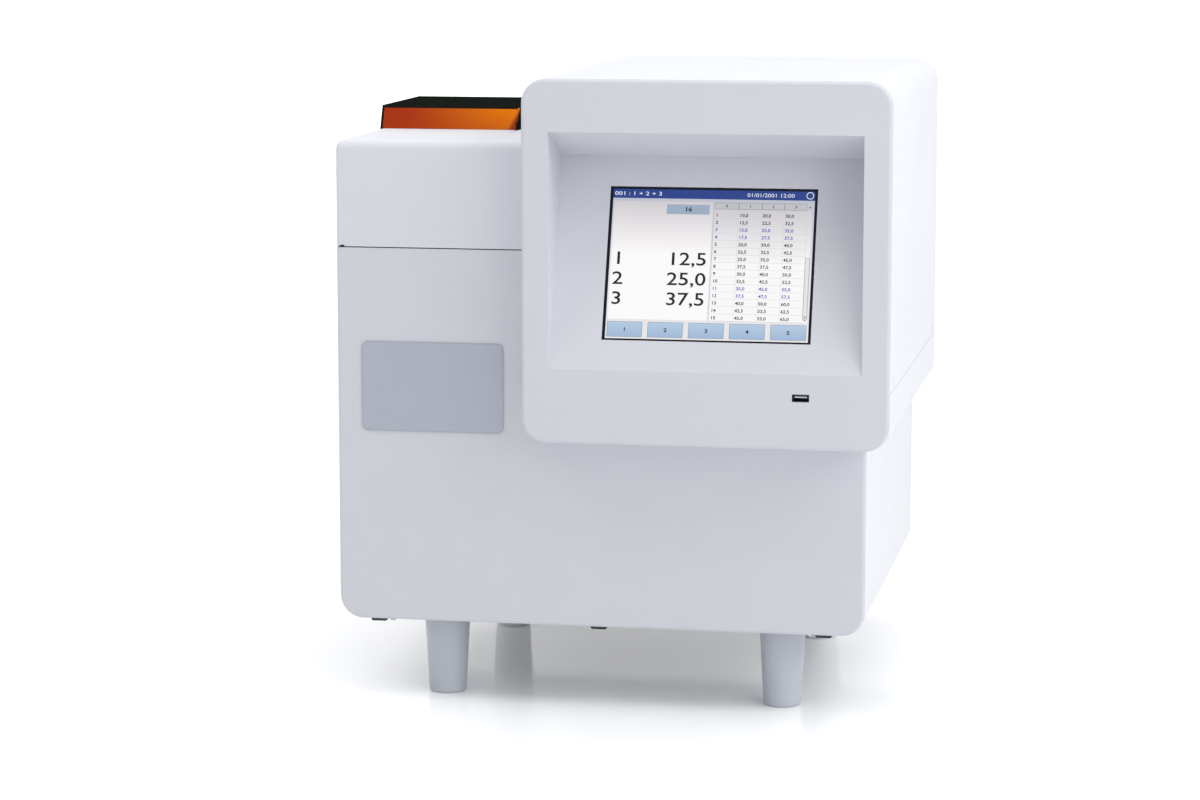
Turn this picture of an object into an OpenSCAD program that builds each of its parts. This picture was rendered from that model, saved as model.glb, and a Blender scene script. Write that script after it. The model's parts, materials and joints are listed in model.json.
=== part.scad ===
// Benchtop flame photometer: a body on four tall feet, a burner tower on the left under a hinged lid,
// and a display housing that sits in a notch of the body on the right.
// Millimetres. X to the right, Y to the back, Z up. The origin is on the floor, under the middle of the box
// that the whole object fills. Lengths below are measured from the body's left side, its front face and
// the floor, and centred() moves each piece to the common origin.

/* [Body] */
// Width of the body
body_w = 450; // [430:1:490]
// Depth of the body
body_d = 412; // [390:1:460]
// Height of the body's underside above the floor
foot_h = 70; // [60:1:90]
// Height of the lower body, from its underside to the split line under the lid
split_h = 319; // [310:1:360]
// Height of the burner lid
lid_h = 90.5; // [80:0.5:120]
// Radius of the body's lower corners
corner_r = 20; // [14:1:26]
// Rounding of the front faces' edges
edge_r = 3; // [1.5:0.5:4]
// Rounding of the lid's upper edges
lid_r = 8; // [4:1:12]
// Thickness of the front panel at its rim
panel_t = 5; // [4.5:0.5:8]
// Thickness of the sheet-metal parts
sheet = 2; // [1.5:0.1:2.5]
// Wall of the moulded shells
wall = 2.5; // [2:0.1:3]

/* [Display housing] */
// Left side of the display housing, from the body's left side
house_x = 167.5; // [160:0.5:190]
// How far the display housing stands out beyond the body's right side
house_over = 22.5; // [16:0.5:30]
// Height of the display housing
house_h = 301; // [290:1:330]
// Underside of the display housing above the body's underside
house_up = 163; // [150:1:190]
// How far the display housing stands out in front of the body
house_out = 40; // [25:1:60]
// Depth of the display housing
house_d = 424; // [410:1:440]
// Height of the lower tray of the display housing
tray_h = 46.5; // [40:0.5:55]
// Radius of the display housing's corners
house_r = 20; // [14:1:24]
// Thickness of the bezel at its rim
bezel_t = 5; // [4.5:0.5:7]

/* [Screen] */
// Margin between the housing's side and the recess
rim_side = 22.5; // [18:0.5:24]
// Lower rim of the recess above the housing's underside
rim_up = 62; // [58:1:68]
// Height of the recess at the front
rim_h = 195.5; // [190:0.5:205]
// Depth of the recess at its upper end
recess_d = 61.6; // [50:0.1:66]
// Fall of the recess's ceiling from the front to its inner end
ceiling_drop = 23; // [12:1:26]
// Width of the touch panel
glass_w = 173.5; // [165:0.5:180]
// Height of the touch panel along the slope
glass_h = 131; // [124:1:134]
// Lower edge of the touch panel above the lower rim, along the slope
glass_up = 25.8; // [22:0.1:30]

/* [Front details] */
// Middle of the USB socket, from the housing's left side
usb_x = 232.5; // [225:0.5:250]
// Middle of the USB socket above the housing's underside
usb_up = 43; // [36:0.5:48]
// Name plate's left edge from the body's left side
plate_x = 21.7; // [16:0.1:30]
// Name plate's lower edge above the body's underside
plate_up = 163.4; // [120:0.1:200]
// Width of the name plate
plate_w = 122; // [100:1:130]
// Height of the name plate
plate_h = 76; // [60:1:90]
// Distance between neighbouring clips under the front edge
clip_pitch = 191; // [170:1:195]
// Width of a clip
clip_w = 15; // [10:1:20]

/* [Feet] */
// Diameter of a foot where it meets the body
foot_top_d = 39.5; // [34:0.5:44]
// Diameter of a foot on the floor
foot_end_d = 32; // [26:0.5:38]
// Middle of the left feet from the body's left side
foot_left = 84; // [82:1:100]
// Middle of the right feet from the body's right side
foot_right = 74; // [72:1:95]
// Middle of the front feet from the body's front face
foot_front = 45; // [32:1:60]
// Middle of the rear feet from the body's rear face
foot_rear = 93; // [60:1:110]

/* [Flue shield] */
// Left side of the shield from the body's left side
shield_x = 4; // [4:0.5:20]
// Upper front edge of the shield from the body's front face
shield_y = 148; // [130:1:160]
// Width of the shield
shield_w = 124; // [116:1:136]
// Depth of the shield at its top
shield_d = 137; // [128:1:150]
// Height of the shield above the lid
shield_h = 20; // [16:1:40]
// How far the window leans back from its foot to its top
shield_lean = 9.5; // [0:0.5:14]

/* [Burner] */
// Diameter of the chimney tube
chimney_d = 64; // [56:1:72]
// Height of the optical axis above the body's underside
optic_up = 275; // [265:1:285]
// Diameter of the light port
port_d = 24; // [16:1:28]
// Diameter of the mixing chamber
chamber_d = 60; // [50:1:64]
// Length of the mixing chamber
chamber_l = 120; // [100:1:130]
// Middle of the mixing chamber above the body's underside
chamber_up = 90; // [84:1:96]

/* [Rear services] */
// Outer radius of the gas nipple's tip
gas_tip_r = 4; // [3:0.5:5]
// Outer radius of the air nipple's tip
air_tip_r = 3; // [2:0.5:4]
// Outer radius of the drain outlet's tip
drain_tip_r = 5; // [4:0.5:7]
// Reach of the nipples behind the rear panel
nipple_reach = 24; // [20:1:32]
// Size of the square fan
fan_size = 80; // [76:1:84]
// Travel of the fuse drawer
drawer_travel = 20; // [12:1:24]

/* [Hidden] */
seam = 0.4;          // open seam between outer shells
lid_seam = 0.9;      // open seam under the lid
fit = 0.2;           // gap between pieces that are set beside each other
lid_side = 1;        // gap between the lid and the display housing
z_split = foot_h + split_h;
z_lid = z_split + lid_h;
tower_w = house_x - lid_side;
house_w = body_w + house_over - house_x;
hx0 = house_x;
hx1 = house_x + house_w;
hy0 = -house_out;
hy1 = hy0 + house_d;
hz0 = foot_h + house_up;
hz1 = hz0 + house_h;
tray_top = hz0 + tray_h;
y_in = panel_t + fit;              // inner pieces start here behind the front panel
y_end = body_d - sheet - fit;      // and end here before the rear panel
floor_z = foot_h + sheet;          // upper face of the base plate
wrap_in = 60;                      // reach of the side panels' lower flanges
rim_w = house_w - 2 * rim_side;
rise = rim_h - ceiling_drop;       // height of the recess's inner end above its lower rim
tilt = atan(recess_d / rise);      // lean of the screen
pan_t = 3;                         // wall of the recess
burner_x = shield_x + shield_w / 2;
burner_y = shield_y + shield_d / 2;
optic_z = foot_h + optic_up;
chamber_z = foot_h + chamber_up;
chamber_y0 = burner_y - chamber_l / 2 + 14;
hearth_z = optic_z - 23;           // upper face of the hearth plate
bulk_x = tower_w - fit - sheet;    // left face of the bulkhead
y_back = body_d + nipple_reach;

white = "#EEF1F5";
pale_grey = "#D3D8E0";
zinc = "#B9BEC4";
steel = "#C9CCD0";
dark = "#2B2E30";
board_green = "#2F6B45";
foot_grey = "#AAB4C2";
orange = "#DB5F10";
brass = "#B99A4B";

// ---------- shared shapes ----------

// Moves a piece from the body's corner to the common origin and colours it.
module centred(tone) {
    translate([-(hx1 - port_reach) / 2, -(y_back + hy0) / 2, 0]) color(tone) children();
}

// Points of an arc from angle a to angle b.
function arc(cx, cy, r, a, b, n = 10) =
    [for (k = [0:n]) [cx + r * cos(a + (b - a) * k / n), cy + r * sin(a + (b - a) * k / n)]];

// Outline of a rectangle w by h whose corners have the radii r: lower left, lower right, upper right,
// upper left. A corner of radius 0 stays sharp.
function outline(w, h, r, in = 0) = concat(
    arc(max(r[0], in), max(r[0], in), max(r[0] - in, 0.01), 180, 270),
    arc(w - max(r[1], in), max(r[1], in), max(r[1] - in, 0.01), 270, 360),
    arc(w - max(r[2], in), h - max(r[2], in), max(r[2] - in, 0.01), 0, 90),
    arc(max(r[3], in), h - max(r[3], in), max(r[3] - in, 0.01), 90, 180));

// A plate w by h and t thick that lies on z = 0, with rounded corners r and its upper edges rounded by f.
module soft_plate(w, h, t, r, f) {
    hull() {
        linear_extrude(t - f) polygon(outline(w, h, r));
        for (k = [1:5])
            translate([0, 0, t - f + f * sin(18 * k) - 0.01])
                linear_extrude(0.01) polygon(outline(w, h, r, f * (1 - cos(18 * k))));
    }
}

// Stands a shape that is drawn flat upright: its upper side then looks to the front.
module upright() rotate([90, 0, 0]) children();

// A prism along Y with the outline that is drawn in X and Z.
module along_y(y0, y1) translate([0, y1, 0]) rotate([90, 0, 0]) linear_extrude(y1 - y0) children();

// A prism along X with the outline that is drawn in Y and Z.
module along_x(x0, x1) translate([x0, 0, 0]) rotate([90, 0, 90]) linear_extrude(x1 - x0) children();

// A rod from z = 0 up, turned to lie along X or Y.
module rod_x(d, l) rotate([0, 90, 0]) cylinder(d = d, h = l, $fn = 48);
module rod_y(d, l) rotate([-90, 0, 0]) cylinder(d = d, h = l, $fn = 48);

// A row of n upright slots, w by h, that run through depth along Y.
module slot_row(n, pitch, w, h, depth) {
    for (k = [0:n - 1]) translate([k * pitch, -depth / 2, 0]) cube([w, depth, h]);
}

// Places its children at each foot.
module at_feet() {
    for (x = [foot_left, body_w - foot_right], y = [foot_front, body_d - foot_rear])
        translate([x, y, 0]) children();
}

// Frame of the screen: X along the lower rim, Y up the slope, Z out of the screen.
module on_screen() translate([hx0 + rim_side, hy0, hz0 + rim_up]) rotate([90 - tilt, 0, 0]) children();

// A tube bend: a quarter ring of pipe in the XY plane, centred on the origin, from angle 0 to 90.
module bend(pipe_d, bend_r) rotate_extrude(angle = 90, $fn = 64) translate([bend_r, 0])
    circle(d = pipe_d, $fn = 24);

// ---------- body ----------

vent_w = 5;
vent_pitch = 12;
base_vents = 10;
base_vent_l = 60;
module base_plate() centred(zinc) difference() {
    translate([wrap_in + fit, y_in, foot_h]) cube([body_w - 2 * (wrap_in + fit), y_end - y_in, sheet]);
    at_feet() translate([0, 0, foot_h - 1]) cylinder(d = foot_screw_d + 2 * fit, h = sheet + 2, $fn = 32);
    translate([body_w / 2 - base_vents * vent_pitch / 2, body_d / 2 - vent_pitch, foot_h - 1])
        slot_row(base_vents, vent_pitch, vent_w, sheet + 2, base_vent_l);
}

// Outline of a side panel: a wall that turns under the body with the corner radius.
function wrap_outline(h) = concat(
    [[0, h]], arc(corner_r, corner_r, corner_r, 180, 270), [[wrap_in, 0], [wrap_in, sheet]],
    arc(corner_r, corner_r, corner_r - sheet, 270, 180), [[sheet, h]]);

side_vents = 7;
side_vent_off = 20;
side_vent_h = 26;
module side_panel_left() centred(white) difference() {
    translate([0, 0, foot_h]) along_y(y_in, y_end) polygon(wrap_outline(split_h - lid_seam / 2));
    translate([-1, sample_y, chamber_z]) rod_x(sample_hole_d, sheet + 2);
    for (k = [0:side_vents - 1])
        translate([-1, burner_y + side_vent_off + vent_pitch * k, hearth_z + side_vent_off])
            cube([sheet + 2, vent_w, side_vent_h]);
}

module side_panel_right() centred(white) translate([body_w, 0, foot_h]) mirror([1, 0, 0])
    along_y(y_in, y_end) polygon(wrap_outline(house_up - 2.5 * fit));

// Half the rib that is left between two pockets of the front panel.
panel_rib = 1.2;
low_pockets = 6;
tower_pockets = 2;

module front_panel() centred(pale_grey) difference() {
    translate([0, panel_t, foot_h]) upright()
        soft_plate(body_w, split_h + 2 * edge_r, panel_t, [corner_r, corner_r, edge_r, edge_r], edge_r);
    translate([-1, -1, z_split - lid_seam / 2]) cube([body_w + 2, panel_t + 2, 4 * edge_r]);
    translate([tower_w + 2.5 * fit, -1, hz0 - 2.5 * fit]) cube([body_w, panel_t + 2, split_h]);
    for (k = [0:low_pockets - 1])
        let (cell = (body_w - 2 * corner_r) / low_pockets)
            translate([corner_r + cell * k + panel_rib, wall, foot_h + corner_r])
                cube([cell - 2 * panel_rib, panel_t, house_up - 2 * corner_r]);
    for (k = [0:tower_pockets - 1])
        let (cell = (tower_w - corner_r - 2 * edge_r) / tower_pockets)
            translate([corner_r / 2 + cell * k + panel_rib, wall, hz0 - corner_r + 2 * panel_rib])
                cube([cell - 2 * panel_rib, panel_t, split_h - house_up]);
}

// Outline of the rear panel, which covers the tower and the lower bay.
function rear_outline() = concat(
    arc(corner_r, corner_r, corner_r, 180, 270), arc(body_w - corner_r, corner_r, corner_r, 270, 360),
    [[body_w, house_up - 2.5 * fit], [tower_w, house_up - 2.5 * fit], [tower_w, split_h - lid_seam / 2],
        [0, split_h - lid_seam / 2]]);

tower_vents = 7;
bay_vents = 13;
rear_vent_h = 28;
module rear_panel() centred(white) difference() {
    translate([0, 0, foot_h]) along_y(body_d - sheet, body_d) polygon(rear_outline());
    translate([entry_x, body_d - sheet - 1, entry_z]) cube([entry_w, sheet + 2, entry_h]);
    for (p = nipples) translate([p[0], body_d - sheet - 1, p[1]]) rod_y(nipple_hole_d, sheet + 2);
    translate([burner_x - tower_vents * vent_pitch / 2, body_d - sheet / 2, hearth_z + 5])
        slot_row(tower_vents, vent_pitch, vent_w, rear_vent_h, sheet + 2);
    translate([tower_w + vent_pitch, body_d - sheet / 2, hz0 - rear_vent_h - side_vent_off])
        slot_row(bay_vents, vent_pitch, vent_w, rear_vent_h, sheet + 2);
}

bulk_flange = 12;
module bulkhead() centred(zinc) difference() {
    union() {
        translate([bulk_x, y_in, floor_z + fit])
            cube([sheet, y_end - y_in, z_split - lid_seam / 2 - floor_z - fit]);
        translate([bulk_x - bulk_flange, y_in + 4, floor_z + fit])
            cube([bulk_flange + 1, y_end - y_in - 8, sheet]);
    }
    translate([bulk_x - 1, burner_y, optic_z]) rod_x(port_d, sheet + 2);
    translate([bulk_x - 1, gas_pipe_y, gas_pipe_z]) rod_x(pipe_hole_d, sheet + 2);
    translate([bulk_x - 1, air_pipe_y, gas_pipe_z]) rod_x(pipe_hole_d, sheet + 2);
}

module bay_deck() centred(zinc) difference() {
    translate([tower_w, y_in, hz0 - fit - sheet])
        cube([body_w - sheet - fit - tower_w, y_end - y_in, sheet]);
    translate([cable_x, cable_y, hz0 - 10]) cylinder(d = cable_hole_d, h = 12, $fn = 48);
}

plate_t = 1;
plate_r = 5;
module name_plate() centred("#A9AFBB") {
    translate([plate_x, 0, foot_h + plate_up]) upright()
        linear_extrude(plate_t) polygon(outline(plate_w, plate_h, [plate_r, plate_r, plate_r, plate_r]));
}

clip_h = 2.2;
clip_y = 3;
module front_clips() centred(dark) {
    for (k = [-1:1])
        translate([body_w / 2 + k * clip_pitch, 0, foot_h]) along_y(clip_y, clip_y + 12)
            polygon([[-clip_w / 2, 0], [-clip_w / 2 + 1, -clip_h], [clip_w / 2 - 2, -clip_h],
                [clip_w / 2, 0]]);
}

module clip_screws() centred(steel) {
    for (s = [-1, 1])
        translate([body_w / 2 + s * (clip_pitch - clip_w / 2 - 4), clip_y + 2, foot_h - 1.4])
            cylinder(d = 4.4, h = 1.4, $fn = 24);
}

// ---------- feet ----------

foot_screw_d = 6;
foot_bore_d = 13;
foot_seat = 50;      // height of the ledge that the screw's head pulls against
foot_lip = 1.5;

module foot(x, y) centred(foot_grey) {
    translate([x, y, 0]) rotate_extrude($fn = 64)
        polygon([[foot_bore_d / 2, 0], [foot_end_d / 2 - foot_lip, 0], [foot_end_d / 2, foot_lip],
            [foot_top_d / 2, foot_h], [foot_screw_d / 2 + fit, foot_h], [foot_screw_d / 2 + fit, foot_seat],
            [foot_bore_d / 2, foot_seat]]);
}
module foot_front_left() foot(foot_left, foot_front);
module foot_front_right() foot(body_w - foot_right, foot_front);
module foot_rear_left() foot(foot_left, body_d - foot_rear);
module foot_rear_right() foot(body_w - foot_right, body_d - foot_rear);

// A cap screw from below through each foot and the base plate, with its nut on top.
module foot_bolts() centred(steel) at_feet() {
    difference() {
        union() {
            translate([0, 0, foot_seat - 6]) cylinder(d = 10, h = 6, $fn = 32);
            translate([0, 0, foot_seat - 1])
                cylinder(d = foot_screw_d, h = foot_h - foot_seat + 10, $fn = 32);
        }
        translate([0, 0, foot_seat - 7]) cylinder(d = 5.8, h = 4, $fn = 6);
    }
    translate([0, 0, floor_z]) difference() {
        union() {
            cylinder(d = 14, h = 1.2, $fn = 32);
            cylinder(d = 11.5, h = 6, $fn = 6);
        }
        translate([0, 0, -1]) cylinder(d = foot_screw_d + 0.2, h = 8, $fn = 32);
    }
}

// ---------- display housing ----------

shell_y0 = hy0 + bezel_t + fit;

// A trough along Y, open at its front, with a rear wall. Its lower corners are round.
module trough(h, y0, y1) {
    difference() {
        along_y(y0, y1) polygon(outline(house_w, h, [house_r, house_r, 0, 0]));
        translate([wall, 0, wall]) along_y(y0 - 1, y1 - wall)
            polygon(outline(house_w - 2 * wall, h, [house_r - wall, house_r - wall, 0, 0]));
    }
}

board_w = 160;
board_d = 246;
board_up = 8;
board_x = hx0 + house_w - 12 - board_w;
board_y = hy1 - wall - 1.5 - board_d;
board_z = hz0 + wall + board_up;
board_t = 1.6;
cable_x = hx0 + 80;
cable_y = body_d - 110;
cable_hole_d = 30;

module at_board_posts() {
    for (i = [0, 1], j = [0, 1])
        translate([board_x + 6 + i * (board_w - 12), board_y + 6 + j * (board_d - 40), 0]) children();
}

module housing_tray() centred(white) difference() {
    union() {
        translate([hx0, 0, hz0]) trough(tray_h, shell_y0, hy1);
        at_board_posts() translate([0, 0, hz0 + wall - 0.5]) cylinder(d = 8, h = board_up + 0.5, $fn = 32);
    }
    at_board_posts() translate([0, 0, hz0 + wall]) cylinder(d = 2.6, h = board_up + 1, $fn = 24);
    translate([cable_x, cable_y, hz0 - 1]) cylinder(d = cable_hole_d, h = wall + 2, $fn = 48);
    for (p = ports)
        translate([board_x + p[0] - fit, hy1 - wall - 1, board_z + board_t - fit])
            cube([p[1] + 2 * fit, wall + 2, p[2] + 2 * fit]);
}

fan_x = hx0 + house_w - 75;
fan_z = hz1 - 90;
fan_t = 25;
fan_bore = fan_size - 4;
fan_y = hy1 - wall - fit - fan_t;

module housing_cover() centred(white) difference() {
    translate([hx0, 0, hz1]) mirror([0, 0, 1]) trough(house_h - tray_h - seam, shell_y0, hy1);
    translate([hx0 - 1, burner_y, optic_z]) rod_x(port_d, wall + 2);
    translate([fan_x, hy1 - wall - 1, fan_z]) rod_y(fan_bore, wall + 2);
    for (i = [-1, 1], j = [-1, 1])
        translate([fan_x + i * fan_hole, hy1 - wall - 1, fan_z + j * fan_hole]) rod_y(4.5, wall + 2);
    translate([hx0 + 40, hy1 - wall / 2, hz1 - 100]) slot_row(10, 10, 4, 60, wall + 2);
    for (x = [hx0 - 1, hx1 - wall - 1], y = [hy0 + 33, hy1 - 24])
        translate([x, y, tray_top + 4]) cube([wall + 2, 1.2, 7]);
}

// Where the line a u + b w = c crosses the line d u + e w = f.
function crossing(a, b, c, d, e, f) = [(c * e - b * f) / (a * e - b * d),
    (a * f - c * d) / (a * e - b * d)];

// Section of the recess seen from the side: depth from the front face, height above the lower rim.
function recess_section() = [[-1, -1 / tan(tilt)], [recess_d, rise], [-1, rim_h + ceiling_drop / recess_d]];

// Section of the recess with its wall round it.
function pan_section() =
    let (s = sin(tilt), c = cos(tilt), n = norm([ceiling_drop, recess_d]), e = bezel_t - 1,
        a = ceiling_drop / n, b = recess_d / n, top = b * rim_h + pan_t)
    [[e, (e * c - pan_t) / s], crossing(c, -s, pan_t, a, b, top), [e, (top - a * e) / b]];

// Places its children on the four posts behind the recess that carry the screen.
post_out = 10;
lcd_w = glass_w + 16;
lcd_h = glass_h + 12;
lcd_t = 9;
post_h = lcd_t + 0.6;
module at_screen_posts() {
    for (i = [-1, 1], j = [-1, 1])
        translate([rim_w / 2 + i * (lcd_w / 2 + post_out),
            glass_up + glass_h / 2 + j * (glass_h / 2 - 14), 0])
            children();
}

usb_hole = [14.2, 6.4];
shelf_t = 2.5;
usb_z = hz0 + usb_up;

module display_bezel() centred(pale_grey) difference() {
    union() {
        translate([hx0, hy0 + bezel_t, hz0]) upright()
            soft_plate(house_w, house_h, bezel_t, [house_r, house_r, house_r, house_r], edge_r);
        translate([0, hy0, hz0 + rim_up])
            along_x(hx0 + rim_side - pan_t, hx1 - rim_side + pan_t) polygon(pan_section());
        on_screen() at_screen_posts() translate([0, 0, -pan_t - post_h])
            cylinder(d = 8, h = post_h + 1, $fn = 32);
        translate([hx0 + usb_x - 13, hy0 + bezel_t - 0.5, usb_z - usb_h / 2 - board_t - shelf_t])
            cube([26, 24, shelf_t]);
    }
    translate([0, hy0, hz0 + rim_up]) along_x(hx0 + rim_side, hx1 - rim_side) polygon(recess_section());
    on_screen() translate([(rim_w - glass_w) / 2, glass_up, -pan_t - 2])
        cube([glass_w, glass_h, pan_t + 4]);
    on_screen() at_screen_posts() translate([0, 0, -pan_t - post_h - 1]) cylinder(d = 2.6, h = 9, $fn = 24);
    translate([hx0 + usb_x - usb_hole[0] / 2, hy0 - 1, usb_z - usb_hole[1] / 2])
        cube([usb_hole[0], bezel_t + 2, usb_hole[1]]);
}

glass_t = 3;
glass_set = 0.4;     // how far the touch panel lies below the recess's slope
module touch_panel() centred("#101418") on_screen()
    translate([(rim_w - glass_w) / 2 + fit, glass_up + fit, -glass_set - glass_t])
        cube([glass_w - 2 * fit, glass_h - 2 * fit, glass_t]);

lcd_z = -glass_set - glass_t - fit;
module lcd_module() centred(steel) on_screen() difference() {
    translate([(rim_w - lcd_w) / 2, glass_up + (glass_h - lcd_h) / 2, lcd_z - lcd_t])
        cube([lcd_w, lcd_h, lcd_t]);
    translate([(rim_w - lcd_w) / 2 + 12, glass_up + 8, lcd_z - lcd_t - 1])
        cube([lcd_w - 24, glass_h - 16, 3]);
}

bracket_z = -pan_t - post_h - fit - 0.6;
module lcd_bracket() centred(zinc) on_screen() difference() {
    union() {
        translate([rim_w / 2 - lcd_w / 2 - post_out - 6, glass_up + 2, bracket_z - 1.5])
            cube([lcd_w + 2 * post_out + 12, glass_h - 4, 1.5]);
        at_display_posts() translate([0, 0, bracket_z - 1.5 - 6]) cylinder(d = 6, h = 6.5, $fn = 24);
    }
    translate([rim_w / 2 - glass_w / 4, glass_up + glass_h / 4, bracket_z - 3])
        cube([glass_w / 2, glass_h / 2, 5]);
    at_screen_posts() translate([0, 0, bracket_z - 3]) cylinder(d = 3.4, h = 5, $fn = 24);
}

driver_w = 144;      // the display's own board
driver_h = 100;
driver_in = 6;       // middle of its screw holes from its edges
chip_w = 22;
chip_pitch = 36;
module at_display_posts() {
    for (i = [-1, 1], j = [-1, 1])
        translate([rim_w / 2 + i * (driver_w / 2 - driver_in),
            glass_up + glass_h / 2 + j * (driver_h / 2 - driver_in), 0])
            children();
}

module display_board() centred(board_green) on_screen()
    translate([rim_w / 2, glass_up + glass_h / 2, bracket_z - 7.7 - board_t]) {
        translate([-driver_w / 2, -driver_h / 2, 0]) cube([driver_w, driver_h, board_t]);
        for (k = [-1:1])
            translate([chip_pitch * k - chip_w / 2, -chip_w / 2, -2]) cube([chip_w, chip_w, 2.5]);
        translate([driver_in + 2 - driver_w / 2, driver_in - driver_h / 2, -6]) cube([40, 8, 6.5]);
    }

usb_w = 13.1;
usb_h = 5.7;
module usb_port(depth) {
    difference() {
        cube([usb_w, depth, usb_h]);
        translate([0.35, -1, 0.35]) cube([usb_w - 0.7, depth, usb_h - 0.7]);
    }
    translate([1.5, 2, usb_h - 2.6]) cube([usb_w - 3, depth - 2.5, 1.8]);
}

// The front socket on its small board.
module usb_socket() centred(steel) {
    translate([hx0 + usb_x - usb_w / 2, hy0 + 0.8, usb_z - usb_h / 2]) usb_port(14);
    difference() {
        translate([hx0 + usb_x - 12, hy0 + bezel_t + fit, usb_z - usb_h / 2 - board_t])
            cube([24, 22, board_t]);
        for (s = [-1, 1])
            translate([hx0 + usb_x + s * 9.5, hy0 + bezel_t + 18, usb_z - 10])
                cylinder(d = 2.2, h = 12, $fn = 24);
    }
}

fin_pitch = 5;       // cooling fins
fin_l = 36;
fin_h = 16;
plug_row_l = 60;
can_d = 12;          // capacitors
// Each data port on the main board's rear edge: place along the board, width, height.
ports = [[12, 16, 13.5], [42, usb_w, usb_h], [66, usb_w, usb_h], [92, 31, 12.5]];
module main_board() centred(board_green) translate([board_x, board_y, board_z]) difference() {
    union() {
        cube([board_w, board_d, board_t]);
        for (i = [0:2], j = [0:2])
            translate([18 + 2 * chip_w * i, 30 + 2.4 * chip_w * j, board_t - 0.5])
                cube([chip_w, chip_w, 2.5]);
        for (k = [0:6])
            translate([60 + fin_pitch * k, board_d - fin_l - 32, board_t - 0.5]) cube([2, fin_l, fin_h]);
        translate([10, 8, board_t - 0.5]) cube([plug_row_l, 9, 11]);
        for (k = [0:3])
            translate([88 + (can_d + 4) * k, 16, board_t - 0.5])
                cylinder(d = can_d, h = fin_h + 2, $fn = 24);
    }
    for (i = [0, 1], j = [0, 1])
        translate([6 + i * (board_w - 12), 6 + j * (board_d - 40), -1]) cylinder(d = 3.2, h = 4, $fn = 24);
}

module data_ports() centred(steel) {
    for (k = [0:3])
        translate([board_x + ports[k][0], hy1 - 16, board_z + board_t])
            if (k == 0) {
                difference() {
                    cube([ports[k][1], 16, ports[k][2]]);
                    translate([2, 3, 2.5]) cube([ports[k][1] - 4, 14, 7]);
                    translate([5, 3, 2]) cube([ports[k][1] - 10, 14, 9.5]);
                }
            } else if (k == 3) {
                difference() {
                    union() {
                        cube([ports[k][1], 14.5, ports[k][2]]);
                        translate([6, 12, 2]) cube([19, 8, 8.5]);
                    }
                    translate([7, 16, 3]) cube([17, 5, 6.5]);
                }
            } else {
                translate([0, 16, 0]) mirror([0, 1, 0]) usb_port(14);
            }
}

// ---------- optics ----------

channel_pitch = 32;
channel_d = 18;
channel_first = 34;  // middle of the first channel from the block's nose
block_w = channel_first + 2 * channel_pitch + 14;
block_d = 70;
block_h = 56;
block_x = hx0 + wall + 1.2;
block_y = burner_y - block_d / 2;
block_z = optic_z - block_h / 2;

module at_channels() {
    for (k = [0:2]) translate([block_x + channel_first + channel_pitch * k, burner_y, optic_z]) children();
}

stand_foot = 14;
module optics_stand() centred(zinc) {
    translate([block_x + 2, block_y, block_z - fit - sheet]) cube([block_w, block_d, sheet]);
    for (x = [hx0 + house_r + 2, block_x + 2 + block_w - stand_foot]) {
        translate([x, block_y, hz0 + wall + fit])
            cube([sheet, block_d, block_z - fit - hz0 - wall - fit - 0.5]);
        translate([x, block_y, hz0 + wall + fit]) cube([stand_foot, block_d, sheet]);
    }
}

module optics_block() centred(dark) difference() {
    union() {
        translate([block_x + 2, block_y, block_z]) cube([block_w, block_d, block_h]);
        translate([block_x, burner_y, optic_z]) rod_x(port_d + 8, 10);
    }
    translate([block_x - 1, burner_y, optic_z]) rod_x(port_d, block_w);
    at_channels() rod_y(channel_d, block_d);
    for (i = [0, 1], j = [0, 1])
        translate([block_x + 10 + i * (block_w - 16), block_y + 8 + j * (block_d - 16), block_z - 1])
            cylinder(d = 4.2, h = 12, $fn = 24);
}

lens_d = port_d - 0.4;
module optics_lens() centred("#CFE3EC") translate([block_x + 8, burner_y, optic_z]) rotate([0, 90, 0])
    rotate_extrude($fn = 64) polygon(concat([[0, -1], [lens_d / 2, 0.5], [lens_d / 2, 3.5]],
        [for (k = [5:-1:0]) [lens_d / 2 * sin(15 * k), 3.5 + 2.5 * cos(15 * k)]]));

// Half-silvered plates that stand across the main bore at 45 degrees and send light to the channels.
module beam_splitters() centred("#D9C98F") at_channels() intersection() {
    translate([-port_d, 0, 0]) rod_x(port_d - 2 * fit, 2 * port_d);
    rotate([0, 0, 45]) translate([-0.6, -port_d, -port_d]) cube([1.2, 2 * port_d, 2 * port_d]);
}

filter_y = port_d / 2 + 4;
module channel_filters() centred("#C97B3A") at_channels() translate([0, filter_y, 0])
    rod_y(channel_d - 0.4, 3.5);

// Three photodiode cans on one board.
module detectors() centred(steel) {
    at_channels() translate([0, filter_y + 4, 0]) rod_y(channel_d - 0.4, block_d / 2 - filter_y - 1.8);
    translate([block_x + 14, block_y + block_d + 2, block_z + 6]) {
        cube([block_w - 14, board_t, block_h - 12]);
        for (k = [0:2]) translate([10 + channel_pitch * k, board_t - 0.2, 8]) cube([16, 3, 10]);
    }
}

// ---------- burner ----------

hearth_l = 180;
hearth_y0 = burner_y - hearth_l / 2;
hearth_y1 = burner_y + hearth_l / 2;
burner_d = 28;
hearth_flange = 24;
hearth_slot_l = 24;
hearth_slot_w = 8;
hearth_slot_pitch = 40;
hearth_slot_in = 22;

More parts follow.
